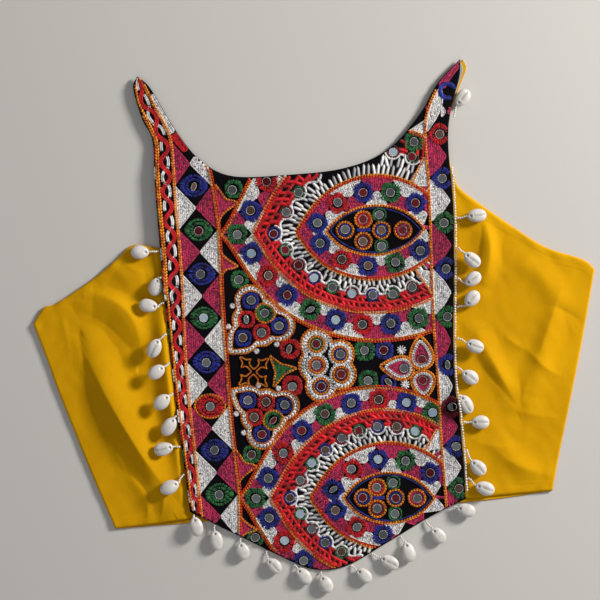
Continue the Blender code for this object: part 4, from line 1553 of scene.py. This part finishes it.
@dataclass
class Borders:
    """The two side borders: a guilloche strip and diamonds at the left, half diamonds at the right."""

    pace: float = 35.3
    first: float = 113.0
    wave: float = 24.0
    swing: float = 3.4
    colours: tuple[Floss, ...] = (
        Floss.BLUE, Floss.GREEN, Floss.BLUE, Floss.GREEN, Floss.BLUE, Floss.RED, Floss.BLUE, Floss.GREEN,
    )

    def guilloche(self, work: Needlework) -> None:
        """The strip along the left edge: a red wave over white dashes between two orange lines.

        The waves are sines square to the strip's middle line, half a turn apart and a little longer on
        the strap; the white shows where it stands clear of the red.
        """
        outer, inner = even_line(OUTER_LINE, 200), even_line(INNER_LINE, 200)
        middle = (outer + inner) / 2
        width = np.linalg.norm(outer - inner, axis=1)
        far = line_lengths(middle)
        turn = 2 * np.pi * (far - 5.6 * ease(far, 0.0, 60.0)) / self.wave
        swing = np.minimum(self.swing, 0.25 * width)[:, None] * square_to(middle)
        red = middle + 1.15 * swing * np.sin(turn + 0.2 * np.sin(2 * turn))[:, None]
        white = middle - 0.95 * swing * (0.5 * np.sign(np.sin(turn)) + 0.5 * np.sin(turn))[:, None]
        clear = np.abs(np.sin(turn)) > 0.3
        ends = np.flatnonzero(np.diff(clear.astype(int)))
        for low, high in zip(ends[:-1], ends[1:]):
            if clear[(low + high) // 2]:
                work.cord(Floss.WHITE, white[low : high + 1], 2.5, strands=2, lift=0.1, dash=5.0)
        work.cord(Floss.RED, red, 3.4, strands=3, lift=0.35, dash=5.0)
        work.chain(Floss.ORANGE, outer, gauge=3.3, pace=2.4)
        work.chain(Floss.ORANGE, inner, gauge=2.6, pace=2.1)
        edge = moved_out(PANEL_LEFT, np.linspace(0.17, 0.98, 54), 1, 1.0)
        tones = (Floss.RED, Floss.WHITE, Floss.RED, Floss.GREEN, Floss.MAROON, Floss.WHITE)
        for number, (one, other) in enumerate(zip(edge, edge[1:])):
            if number % 3 != 2:
                tone = tones[(number // 3) % 6]
                work.cord(tone, np.array([one, other]), 1.8, strands=2, lift=0.05, dash=2.6)

    def diamonds(self, work: Needlework) -> None:
        """The column of medallions, with half diamonds that meet point to point between them."""
        heights = self.first - self.pace * np.arange(-1, 9)
        for y, floss in zip(heights[1:], self.colours):
            low, high = line_at(INNER_LINE, y)[0], line_at(LEFT_LINE, y)[0]
            x = (low + high) / 2 + 0.4
            work.medallion(floss, x, y, 11.2, square=0.04, turn=0.0, low=0.8)
            if floss is Floss.RED:
                work.chain(Floss.ORANGE, circle(x, y, (12.2, 9.6), 32), gauge=1.6)
        for number, (top, bottom) in enumerate(zip(heights, heights[1:])):
            pair = (Floss.PINK, Floss.WHITE) if number % 2 == 0 else (Floss.WHITE, Floss.PINK)
            mid = (top + bottom) / 2
            apex = line_at(INNER_LINE, mid) + 0.5 * (line_at(LEFT_LINE, mid) - line_at(INNER_LINE, mid))
            for points, floss in zip((INNER_LINE, LEFT_LINE), pair):
                base = line_at(points, mid + 0.5 * self.pace * np.linspace(1, -1, 9))
                work.fill(floss, np.vstack([base, apex[None]]), 92.0, bounded=False)
        work.chain(Floss.ORANGE, even_line(LEFT_LINE, 120), gauge=2.0)
        work.chain(Floss.FLAME, even_line(LEFT_LINE, 120) + (1.7, 0.0), gauge=1.3)

    def right(self, work: Needlework) -> None:
        """The right border: half diamonds on the right line, points to the right, with mirrors between."""
        order = np.arange(-1, 10)
        joints = 154.5 - 35.4 * order - 8.0 * np.exp(-(((order - 5.2) / 1.6) ** 2))
        for number, (top, bottom) in enumerate(zip(joints[1:], joints[2:])):
            y = (top + bottom) / 2 + 0.47 * (top - bottom) * np.linspace(1, -1, 9)
            base = line_at(RIGHT_LINE, y) + (1.2, 0.0)
            far = line_at(PANEL_RIGHT, y)[:, 0] - 2.4 - base[:, 0]
            apex = base[4] + (far[4], 0.0)
            shoulders = base[[6, 2]] + (0.62 * far[4], 0.0)
            shape = np.vstack([base, shoulders[:1], apex[None], shoulders[1:]])
            work.fill((Floss.PINK, Floss.WHITE)[number % 2], shape, 88.0, bounded=False)
        red, blue, green = Floss.RED, Floss.BLUE, Floss.GREEN
        tones = (red, blue, green, blue, green, blue, Floss.MAROON, blue, green)
        for y, floss in zip(joints[1:], tones):
            x = min(line_at(RIGHT_LINE, y)[0] + 11.5, line_at(PANEL_RIGHT, y)[0] - 5.0)
            work.medallion(floss, x, y, 8.8, square=0.06, turn=0.0)
        work.chain(Floss.ORANGE, line_at(RIGHT_LINE, np.linspace(190.0, -144.0, 130)), gauge=2.2)

    def straps(self, work: Needlework) -> None:
        """The strap peaks: a white leaf, a pink band and a blue medallion right, a white band left."""
        pink = neck_strip((195.0, 213.6), (1.2, 1.0), (7.0, 3.2), right=True)
        work.fill(Floss.PINK, pink, 58.0, bounded=False)
        y = np.linspace(194, 156, 15)
        leaf = line_at(RIGHT_LINE, y) + np.stack([1.4 + 0 * y, 0 * y], -1)
        bulge = leaf + np.stack([8.6 * np.sin(np.pi * (194 - y) / 38.0), 0 * y], -1)
        work.fill(Floss.WHITE, np.vstack([leaf, bulge[::-1]]), 78.0, bounded=False)
        radii = np.tile([3.4, 8.2], (26, 1))
        work.sector(Floss.BLUE, 106.6, 189.0, radii, 1.5, 0.35)
        work.sector(Floss.BLUE, 106.6, 189.0, 0.6 * radii + 2.6, 1.3, 0.3, aside=7)
        for floss, outline, heading in (
            (Floss.WHITE, [(101.6, 178.0), (105.6, 172.3), (101.9, 167.6)], 70.0),
            (Floss.PINK, [(106.6, 172.0), (108.8, 176.4), (109.0, 168.6)], 70.0),
            (Floss.WHITE, neck_strip((187.0, 157.5), (1.0, 1.0), (2.6, 7.2)), -58.0),
            (Floss.RED, neck_strip((156.0, 143.0), (1.0, 1.0), (6.6, 5.0)), -55.0),
        ):
            work.fill(floss, outline, heading, bounded=False)
        work.medallion(Floss.GREEN, 80.0, 148.5, 8.4, Glass.GREY)
        work.medallion(Floss.GREEN, -64.5, 110.5, 7.9, Glass.GREY)

    def build(self, work: Needlework) -> None:
        """Stitch both borders and both straps."""
        self.guilloche(work)
        self.diamonds(work)
        self.right(work)
        self.straps(work)


@dataclass
class MiddleField:
    """The motifs on the black between and beside the two ovals, each set out by a formula of its own."""

    @staticmethod
    def lobed(lobes: Sequence[tuple[float, float, float]], angle: Array) -> Array:
        """The outer outline of discs round a centre: their largest reach in each direction.

        A disc at distance d and direction p reaches d cos(angle - p) + sqrt(r^2 - d^2 sin^2(angle - p)).

        Args:
            lobes: Each disc's distance, direction in degrees, and radius.
            angle: Directions in degrees.

        Returns:
            The outline's radius in each direction.
        """
        far, toward, radius = (column[:, None] for column in np.array(lobes).T)
        off = np.radians(angle - toward)
        under = radius**2 - (far * np.sin(off)) ** 2
        return np.where(under > 0, far * np.cos(off) + np.sqrt(np.maximum(under, 0)), 0).max(0)

    @staticmethod
    def rims(
        work: Needlework, x: float, y: float, radius: Array, rows: Sequence[tuple[float, Floss, float]]
    ) -> None:
        """Lines of chain stitch inside one another round an outline.

        Args:
            x, y: The centre's plan position.
            radius: The outline's radius at even angles from 0 to 360 degrees.
            rows: Each line's distance inside the outline, its colour and its gauge.
        """
        out = turned(np.linspace(0, 360, len(radius)))
        for inset, floss, gauge in rows:
            work.chain(floss, (x, y) + (radius - inset)[:, None] * out, gauge=gauge, pace=1.3 + 0.5 * gauge)

    def trefoil(
        self, work: Needlework, x: float, y: float, turn: float, point: float, size: float = 25.0
    ) -> None:
        """A three-lobed badge with six mirrors, one lobe drawn out to a point, and pearls in its notches.

        The point adds 4.2 exp(-((angle - point) / 8)^2) to the outline's radius.

        Args:
            x, y: The centre's plan position.
            turn: The direction of one lobe in degrees.
            point: The direction of the point in degrees.
            size: Its mean radius.
        """
        angle = np.linspace(0, 360, 145)
        lobes = [(0.72 * size, turn + 120 * k, 0.48 * size) for k in range(3)]
        lobes += [(0.36 * size, turn + 60 + 120 * k, 0.45 * size) for k in range(3)]
        radius = self.lobed(lobes, angle) + 4.2 * np.exp(-(((angle - point) / 8.0) ** 2))
        rows = ((0.0, Floss.ORANGE, 1.6), (2.3, Floss.WHITE, 3.1), (4.4, Floss.ORANGE, 1.2))
        self.rims(work, x, y, radius, rows)
        for lobe in range(3):
            px, py = (x, y) + 0.71 * size * turned(turn + 120 * lobe)
            work.medallion(Floss.BLUE, px, py, 7.3)
            px, py = (x, y) + 0.37 * size * turned(turn + 60 + 120 * lobe)
            work.medallion((Floss.RED, Floss.RED, Floss.GREEN)[lobe], px, py, 7.6)
            if lobe == 2:
                work.chain(Floss.ORANGE, circle(px, py, 8.0), gauge=1.7)
                continue
            for spread in (-21, 21):
                dx, dy = (x, y) + 0.95 * size * turned(turn + 60 + 120 * lobe + spread)
                work.dot(dx, dy, 2.5)

    def rosette(self, work: Needlework, x: float, y: float) -> None:
        """A five-lobed white flower with an orange edge and a ringed mirror in each lobe.

        Args:
            x, y: The centre's plan position.
        """
        angle = np.linspace(0, 360, 145)
        lobes = (
            (19.6, 118.0, 12.4), (17.4, 252.0, 12.0), (13.2, 43.0, 11.2), (12.8, -34.0, 11.6),
            (8.8, 178.0, 14.0),
        )
        radius = self.lobed(lobes, angle)
        self.rims(work, x, y, radius, ((0.0, Floss.ORANGE, 2.2), (2.7, Floss.WHITE, 3.2)))
        tones = (Floss.GREEN, Floss.BLUE, Floss.BLUE, Floss.MAROON, Floss.PINK)
        tints = (Glass.RUST, Glass.RUST, Glass.GREY, Glass.RUST, Glass.GREY)
        for (far, toward, _), floss, tint in zip(lobes, tones, tints):
            px, py = (x, y) + far * turned(toward)
            work.ringed(floss, Floss.ORANGE, px, py, 5.2, tint)
            work.chain(Floss.WHITE, circle(px, py, 8.4), gauge=2.2, lift=0.1)

    def petals(self, work: Needlework, x: float, y: float) -> None:
        """Three drops with their round ends together: half width = 24 sqrt(s) (1 - s) along each.

        Args:
            x, y: The middle's plan position.
        """
        s = np.linspace(0, 1, 31) ** 1.5
        half = 24.0 * np.sqrt(s) * (1 - s)
        drops = ((3.0, 1.0, 96.0, 27.0), (-4.6, 0.5, 175.0, 27.0), (2.8, -1.0, -88.0, 23.0))
        for dx, dy, heading, length in drops:
            along, over = turned(heading), turned(heading + 90)
            for inset, floss in ((0.0, Floss.ORANGE), (2.4, Floss.WHITE), (3.9, Floss.PINK)):
                run = (inset * 0.8 + s * (length - 2.6 * inset))[:, None] * along
                wide = (half * (1 - inset / 9.3))[:, None] * over
                ring = (x + dx, y + dy) + np.vstack([run + wide, (run - wide)[::-1]])
                if floss is Floss.PINK:
                    work.fill(floss, ring, heading)
                else:
                    work.chain(floss, ring, gauge=2.4, pace=2.0)
            px, py = (x + dx, y + dy) + 7.4 * along
            work.sector(Floss.MAROON, px, py, np.tile([3.4, 4.9], (18, 1)), 0.9, 0.4)
            work.mirror(px, py, Glass.RUST if heading != 175.0 else Glass.GREY)
            work.discs.append((px, py, 4.4))

    def cross(self, work: Needlework, x: float, y: float) -> None:
        """A four-armed flower in one line, each arm a stem and a head with three points.

        Args:
            x, y: The centre's plan position.
        """
        half_arm = np.array([(1.4, 1.3), (6.4, 1.3), (8.2, 2.6), (9.2, 5.4), (10.8, 2.2), (16.0, 0.4)])
        arm = np.vstack([half_arm * (1, -1), half_arm[::-1]])
        rings = [
            (x, y) + arm[:, :1] * turned(heading) + arm[:, 1:] * turned(heading + 90)
            for heading in (42.0, 132.0, 222.0, 312.0)
        ]
        work.chain(Floss.ORANGE, np.vstack([*rings, rings[0][:1]]), gauge=1.2, pace=1.3)

    def tip_leaves(self, work: Needlework, x: float, y: float, sides: Sequence[int]) -> None:
        """By an oval's tip: a pink wedge with a wavy orange edge and a black crescent under it.

        Args:
            x, y: The tip's plan position.
            sides: 1 for the one above, -1 for the one below.
        """
        for side in sides:
            t = np.linspace(0, 1, 13)[:, None]
            corner, bend, tip = np.array([14.4, 25.2]), np.array([-7.0, 14.0]), np.array([0.2, 1.5])
            hollow = (1 - t) ** 2 * corner + 2 * t * (1 - t) * bend + t**2 * tip
            steps = smooth_line(
                [(-4.2, 40.0), (0.8, 33.6), (4.4, 28.4), (10.0, 27.2), (14.4, 25.2)],
                np.linspace(0, 1, 17),
            )
            base = np.array([(-0.2, 1.5), (-3.0, 22.0), (-4.6, 40.0)])
            for edge in (steps, hollow):
                work.chain(Floss.ORANGE, (x, y) + edge * (1, side), gauge=1.7)
            shape = np.vstack([base, steps, hollow])
            work.fill(Floss.PINK, (x, y) + shape * (1, side), 96.0)

    def build(self, work: Needlework) -> None:
        """Stitch the middle motifs."""
        work.bounded = True
        self.trefoil(work, -45.2, 4.3, 109.0, 228.0)
        self.trefoil(work, -39.6, -69.2, 22.0, 146.0, 24.0)
        self.rosette(work, 11.0, -31.0)
        self.petals(work, 84.2, -34.3)
        self.cross(work, -48.4, -35.9)
        leaf = [
            (-35.5, -23.0), (-27.0, -29.5), (-13.5, -33.0), (-24.0, -38.0), (-32.5, -48.5), (-31.0, -36.0)
        ]
        work.fill(Floss.GREEN, leaf, 0.0)
        work.chain(Floss.ORANGE, leaf + leaf[:1], gauge=1.6)
        green = Floss.GREEN
        for floss, x, y, radius in (
            (Floss.RED, -19.5, -17.5, 8.8), (Floss.RED, -17.5, -47.0, 8.8), (green, 40.5, -19.0, 9.0),
            (Floss.BLUE, 56.2, -18.6, 8.0), (green, 43.3, -42.6, 8.6), (Floss.BLUE, 59.6, -44.0, 6.8),
            (green, -59.6, 38.0, 7.8), (green, -50.0, -102.0, 7.8), (green, -47.0, -168.5, 7.4),
        ):
            work.medallion(floss, x, y, radius)
        work.dot(70.0, -18.5, 4.2)
        work.dot(73.0, -46.1, 4.2)
        self.tip_leaves(work, -75.2, 74.0, (1, -1))
        self.tip_leaves(work, -59.8, -137.2, (1, -1))
        work.bounded = False


@dataclass
class Embroidery:
    """All the needlework on the panel."""

    def build(self, effects: Effects) -> list[Piece]:
        """Stitch the borders, the ovals and the middle motifs, and make the meshes."""
        work = Needlework()
        upper = MirrorOgive(
            77.5, Oval(54.0, 129.2, 113.0, 87.6, 1.2), Oval(50.0, 98.0, 82.0, 64.5),
            Oval(48.5, 62.0, 42.7, 38.0), Oval(48.8, 39.6, 19.8, 19.8), tilt=0.03,
            caps=(
                (Floss.WHITE, ((77.0, 113.0), (88.0, 136.0), (92.0, 136.0), (91.5, 113.0))),
                (Floss.PINK, ((83.5, 111.0), (92.0, 112.5), (92.0, 105.0))),
                (Floss.WHITE, ((81.0, 46.0), (94.4, 26.5), (97.0, 26.5), (95.0, 44.0))),
                (Floss.PINK, ((87.0, 50.5), (95.0, 54.0), (95.0, 45.5))),
            ),
        )
        lower = MirrorOgive(
            -137.0, Oval(50.2, 110.2, 88.0, 82.3, 1.2), Oval(56.0, 90.0, 69.5, 64.0),
            Oval(60.0, 62.0, 43.2, 39.5), Oval(60.0, 36.7, 20.2, 20.2), pace=15.0, nose=-20.6,
            caps=(
                (Floss.WHITE, ((88.5, -99.0), (98.4, -81.7), (103.0, -81.7), (103.0, -97.0))),
                (Floss.PINK, ((95.5, -102.5), (103.0, -98.5), (103.0, -107.6))),
            ),
        )
        work.closed = [
            Ogive(one.axis, one.outer, one.lace, one.tilt).path(0.0, one.reach) for one in (upper, lower)
        ]
        MiddleField().build(work)
        upper.build(work)
        lower.build(work)
        Borders().build(work)
        return work.build(effects)


SHELL = polished("cowrie_shell", "cowrie_shell", (0.16, 0.13, 0.11), (0.82, 0.79, 0.75), 0.38, 0.0, 0.25)
BEADS = polished("white_beads", "white_beads", (0.50, 0.48, 0.45), (0.88, 0.86, 0.82), 0.30, 0.0, 0.3)


class TrimmedEdge(NamedTuple):
    """An edge of the panel with tassels: its line, the side it faces as it runs, and their clearance."""

    line: list
    faces: int
    clearance: float
    tassels: list


TRIMMED_EDGES = {
    "left": TrimmedEdge(PANEL_LEFT, -1, 1.2, ON_LEFT_SIDE),
    "lower": TrimmedEdge(PANEL_LOWER, -1, 1.2, AT_LOWER_EDGE),
    "right": TrimmedEdge(PANEL_RIGHT, 1, 2 * BEAD_RADIUS + 3 * LAYER_GAP, ON_RIGHT_SIDE),
}


def bead_piece(
    name: str, centres: Array, radii: Array, rng: np.random.Generator, effects: Effects, *nodes: str
) -> Piece:
    """Round beads as one piece: each a sphere of 8 meridians and 5 parallels between its two poles.

    Args:
        name: The piece's name.
        centres: The beads' centres.
        radii: Their radii.
        rng: What draws how light each bead is.
        nodes: The CAD nodes that it replaces.
    """
    sides, bands = 8, 5
    tilt = np.pi * (np.arange(bands) + 1) / (bands + 1)
    turn = 2 * np.pi * np.arange(sides) / sides
    wide, tall = np.sin(tilt)[:, None], np.cos(tilt)[:, None]
    ring = np.stack([wide * np.cos(turn), wide * np.sin(turn), tall + 0 * turn], -1)
    unit = np.vstack([ring.reshape(-1, 3), [[0, 0, 1], [0, 0, -1]]])
    here, after = np.arange(sides), np.roll(np.arange(sides), -1)
    top, base, low = sides * bands, sides * bands + 1, sides * (bands - 1)
    faces = [np.stack([here + k, here + k + sides, after + k + sides], 1) for k in range(0, low, sides)]
    faces += [np.stack([here + k, after + k + sides, after + k], 1) for k in range(0, low, sides)]
    faces += [
        np.stack([np.full(sides, top), here, after], 1),
        np.stack([np.full(sides, base), low + after, low + here], 1),
    ]
    points = (centres[:, None] + radii[:, None, None] * unit).reshape(-1, 3)
    first = len(unit) * np.arange(len(centres))[:, None, None]
    piece = make_mesh(name, points, [(first + np.vstack(faces)).reshape(-1, 3)])
    point_values(piece, SHADE, np.repeat(rng.uniform(0.4, 1.0, len(centres)), len(unit)))
    return give(piece, BEADS.material(effects), BEADS.slot, *nodes)


@dataclass
class CowrieTassels:
    """The cowries, each drilled near one end and hung from the panel's edge on a short string of beads."""

    rings: int = 46
    sides: int = 40
    toothed: tuple[str, ...] = ("right",)

    def level(self, tassel: Tassel, forward: Array) -> float:
        """Height of a shell's underside: just clear of the highest cloth under its oval."""
        along, across = np.meshgrid(np.linspace(-0.45, 0.45, 7), np.linspace(-0.4, 0.4, 5))
        x = tassel.shell_x + along * SHELL_LENGTH * forward[0] - across * SHELL_WIDTH * forward[1]
        y = tassel.shell_y + along * SHELL_LENGTH * forward[1] + across * SHELL_WIDTH * forward[0]
        return float(surface_below(x, y).max()) + LAYER_GAP

    def shell(self, tip: Array, forward: Array, slit: bool, seed: float) -> tuple[Array, Array]:
        """One shell as a grid of rings from the string's end to the far one.

        Half width = half an ellipse, (1 - (2t - 1)^2)^0.5, fuller towards the far end; the section is an
        oval with a flatter base. A slit is a Gaussian groove along the crown with a row of teeth, a
        cosine along it, on either lip; the drilled hole is a Gaussian pit near the string. The groove,
        the gaps between the teeth and the hole are also darkened as painted shade.

        Args:
            tip: The end at the string.
            forward: The direction from there to the far end.
            slit: Whether the slit side is uppermost.
            seed: A number that varies the shape.

        Returns:
            The corners as rings, sides and (x, y, z), and how light each is.
        """
        t = 0.5 - 0.5 * np.cos(np.linspace(0.02, np.pi - 0.02, self.rings))[:, None]
        angle = np.linspace(0, 2 * np.pi, self.sides, endpoint=False)[None, :]
        swell = np.sqrt(1 - (2 * t - 1) ** 2) * (0.90 + 0.17 * t + 0.03 * np.sin(5 * t + seed))
        sine = np.sin(angle)
        across = 0.99 * SHELL_WIDTH / 2 * swell * np.sign(np.cos(angle)) * np.abs(np.cos(angle)) ** 0.92
        section = np.where(sine > 0, sine**0.95, -(np.abs(sine) ** 0.75) * 0.92)
        rise = 0.99 * SHELL_HEIGHT / 2 * swell * section
        crown = np.clip(sine, 0, 1) ** 2
        along = SHELL_LENGTH * t * (0.92 + 0.06 * np.sin(2.3 * seed))
        shade = 0.86 - 0.10 * np.abs(across) / (SHELL_WIDTH / 2) - 0.05 * np.sin(3 * t * np.pi + seed) ** 2
        hole = np.exp(-(((along - 2.6) / 0.85) ** 2) - (across / 0.85) ** 2) * crown
        rise = rise - 1.5 * hole
        # Painted shade: the drilled hole is darkened.
        shade = shade - 1.0 * hole
        if slit:
            bend = 0.35 * np.sin(2.2 * np.pi * t + seed)
            reach = ease(t, 0.28, 0.36) * (1 - ease(t, 0.88, 0.96))
            groove = np.exp(-(((across - bend) / 0.62) ** 2)) * reach * crown
            lips = np.exp(-(((np.abs(across - bend) - 1.35) / 0.8) ** 2)) * reach * crown
            teeth = 0.5 + 0.5 * np.cos(2 * np.pi * t * 13)
            rise = rise - 0.7 * groove + 0.20 * lips * teeth - 0.12 * lips
            # Painted shade: darker in the groove and in the gaps between the teeth.
            shade = shade - 0.42 * groove - 0.16 * lips * (1 - teeth)
        side = np.array([-forward[1], forward[0], 0.0])
        along = np.broadcast_to(along, across.shape)
        points = tip + along[..., None] * forward + across[..., None] * side
        points[..., 2] += rise
        return points, np.clip(shade, 0, 1)

    def build_edge(self, name: str, effects: Effects) -> list[Piece]:
        """All the tassels of one edge, as a mesh of shells and a mesh of bead strings."""
        edge = TRIMMED_EDGES[name]
        shells, tones, cells, centres, radii = [], [], [], [], []
        rng = np.random.default_rng(5 + len(name))
        for number, tassel in enumerate(edge.tassels):
            forward = np.append(turned(tassel.heading), 0.0)
            level = self.level(tassel, forward) + SHELL_HEIGHT / 2
            middle = np.array([tassel.shell_x, tassel.shell_y, level])
            tip = middle - forward * SHELL_LENGTH / 2
            start = np.append(moved_out(edge.line, np.array([tassel.at]), edge.faces, edge.clearance)[0], 0.0)
            start[2] = max(float(panel_underside(*start[:2])) + PANEL_WALL / 2, middle[2] - SHELL_HEIGHT / 2)
            slit = name in self.toothed or number % 4 == 3
            grid, tone = self.shell(tip, forward, slit, float(rng.uniform(0, 6)))
            shells.append(grid.reshape(-1, 3))
            tones.append(tone.ravel())
            u, v = np.meshgrid(np.linspace(0.04, 0.96, self.sides), np.linspace(0.04, 0.96, self.rings))
            cells.append(np.stack([(u + number % 4) / 4, (v + number // 4) / 4], -1).reshape(-1, 2))
            run = tip + 0.5 * forward - start
            count = max(2, round(np.linalg.norm(run) / BEAD_PITCH))
            share = (np.arange(count) + 0.35) / count
            aside = np.array([-run[1], run[0], 0])
            sway = 0.35 * np.sin(share * np.pi * 2 + number)[:, None] * aside / np.linalg.norm(run)
            centres.append(start + share[:, None] * run + sway)
            radii.append(rng.uniform(0.82, 0.98, count))
        return [
            self.shell_piece(name, shells, tones, cells, effects),
            bead_piece(f"bead_strings_{name}", np.vstack(centres), np.concatenate(radii), rng, effects),
        ]

    def shell_piece(self, name: str, shells: list, tones: list, cells: list, effects: Effects) -> Piece:
        """The shells of one edge as one piece, which stands for their CAD nodes.

        Args:
            name: The edge's name.
            shells: Each shell's corners.
            tones: How light each corner is.
            cells: Each corner's place on the map for baking.
        """
        rings, sides = self.rings, self.sides
        here = np.arange(sides)
        first = rings * sides * np.arange(len(shells))[:, None, None]
        quads = (first + ring_quads(sides, rings - 1)).reshape(-1, 4)
        caps = (first + np.vstack([here[::-1], here + (rings - 1) * sides])).reshape(-1, sides)
        piece = make_mesh(f"cowries_{name}", np.vstack(shells), [quads, caps])
        point_values(piece, SHADE, np.concatenate(tones))
        bake_map(piece, np.vstack(cells))
        nodes = [f"tassel_{name}_{number:02d}" for number, _ in enumerate(shells, 1)]
        return give(piece, SHELL.material(effects), SHELL.slot, *nodes, mapped=False)

    def build(self, effects: Effects) -> list[Piece]:
        """Build the tassels of all three edges."""
        return [piece for name in TRIMMED_EDGES for piece in self.build_edge(name, effects)]


@dataclass
class BeadEdging:
    """The row of beads along the panel's right edge."""

    pace: float = 2.15

    def build(self, effects: Effects) -> Piece:
        """Build the row: beads one pace apart on the edge's line, moved out by their own radius."""
        span = (BEADED[0] - 0.15, BEADED[1] + 0.05)
        length = line_lengths(even_line(PANEL_RIGHT, 400))[-1] * (span[1] - span[0])
        spots = np.linspace(*span, round(length / self.pace))
        line = moved_out(PANEL_RIGHT, spots, 1, BEAD_RADIUS + LAYER_GAP)
        height = panel_underside(line[:, 0], line[:, 1]) + BEAD_RADIUS + LAYER_GAP
        rng = np.random.default_rng(3)
        centres = np.column_stack([line, height]) + rng.normal(0, 0.12, (len(line), 3))
        radii = rng.uniform(0.9, 1.08, len(line)) * BEAD_RADIUS
        return bead_piece("bead_row_right", centres, radii, rng, effects, "bead_edging")


@dataclass
class Studio:
    """A pale floor, soft lights and a camera straight above the blouse."""

    floor_half: float = 8.0
    camera_height: float = 1.9
    view_width: float = 0.480
    view_centre: tuple[float, float] = (-0.0112, 0.0216)
    view_level: float = 0.006

    def floor(self) -> Piece:
        """The floor: one square just under the blouse."""
        half = self.floor_half / MM
        corners = np.array([[-half, -half, 0], [half, -half, 0], [half, half, 0], [-half, half, 0]])
        floor = make_mesh("studio_floor", corners - (0, 0, 0.05), [np.arange(4)[None]], smooth=False)
        material, tree, shader, _ = new_material("pale_paper")
        look = {"Base Color": (0.62, 0.60, 0.57), "Roughness": 0.9, "Specular IOR Level": 0.2}
        set_sockets(tree, shader, look)
        floor.data.materials.append(material)
        return floor

    def lamp(self, name: str, place: tuple, size: float, power: float, colour: Colour) -> None:
        """An area lamp aimed at the blouse.

        Args:
            name: Its name.
            place: Where it stands, in metres.
            size: The side of its square face.
            power: Its power in watts.
            colour: Its tint.
        """
        data = bpy.data.lights.new(name, "AREA")
        data.size, data.energy, data.color = size, power, colour
        lamp = bpy.data.objects.new(name, data)
        lamp.location = place
        lamp.rotation_euler = (-Vector(place)).to_track_quat("-Z", "Y").to_euler()
        bpy.context.scene.collection.objects.link(lamp)

    def build(self) -> None:
        """Set the floor, the lamps, the ambient light and the camera."""
        self.floor()
        self.lamp("key", (1.5, 0.85, 0.80), 0.4, 47.0, (1.0, 0.97, 0.92))
        self.lamp("fill", (-1.2, 0.6, 1.9), 1.6, 4.5, (0.94, 0.97, 1.0))
        self.lamp("front", (0.3, -1.6, 1.7), 1.4, 4.5, (1.0, 0.99, 0.97))
        world = bpy.data.worlds.new("studio_air")
        world.use_nodes = True
        air = world.node_tree.nodes["Background"]
        set_sockets(world.node_tree, air, {"Color": (0.86, 0.88, 0.92), "Strength": 0.22})
        scene = bpy.context.scene
        scene.world = world
        scene.view_settings.view_transform = "Standard"
        camera = bpy.data.cameras.new("overhead")
        camera.sensor_width = 36.0
        camera.lens = camera.sensor_width * (self.camera_height - self.view_level) / self.view_width
        holder = bpy.data.objects.new("overhead", camera)
        holder.location = (*self.view_centre, self.camera_height)
        scene.collection.objects.link(holder)
        scene.camera = holder


def main() -> None:
    """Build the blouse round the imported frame."""
    logging.basicConfig(level=logging.INFO, format="%(name)s: %(message)s")
    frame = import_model()
    effects = Effects()
    YellowCotton().build(effects)
    EmbroideredGround().build(effects)
    Embroidery().build(effects)
    CowrieTassels().build(effects)
    BeadEdging().build(effects)
    Studio().build()


if __name__ == "__main__":
    main()
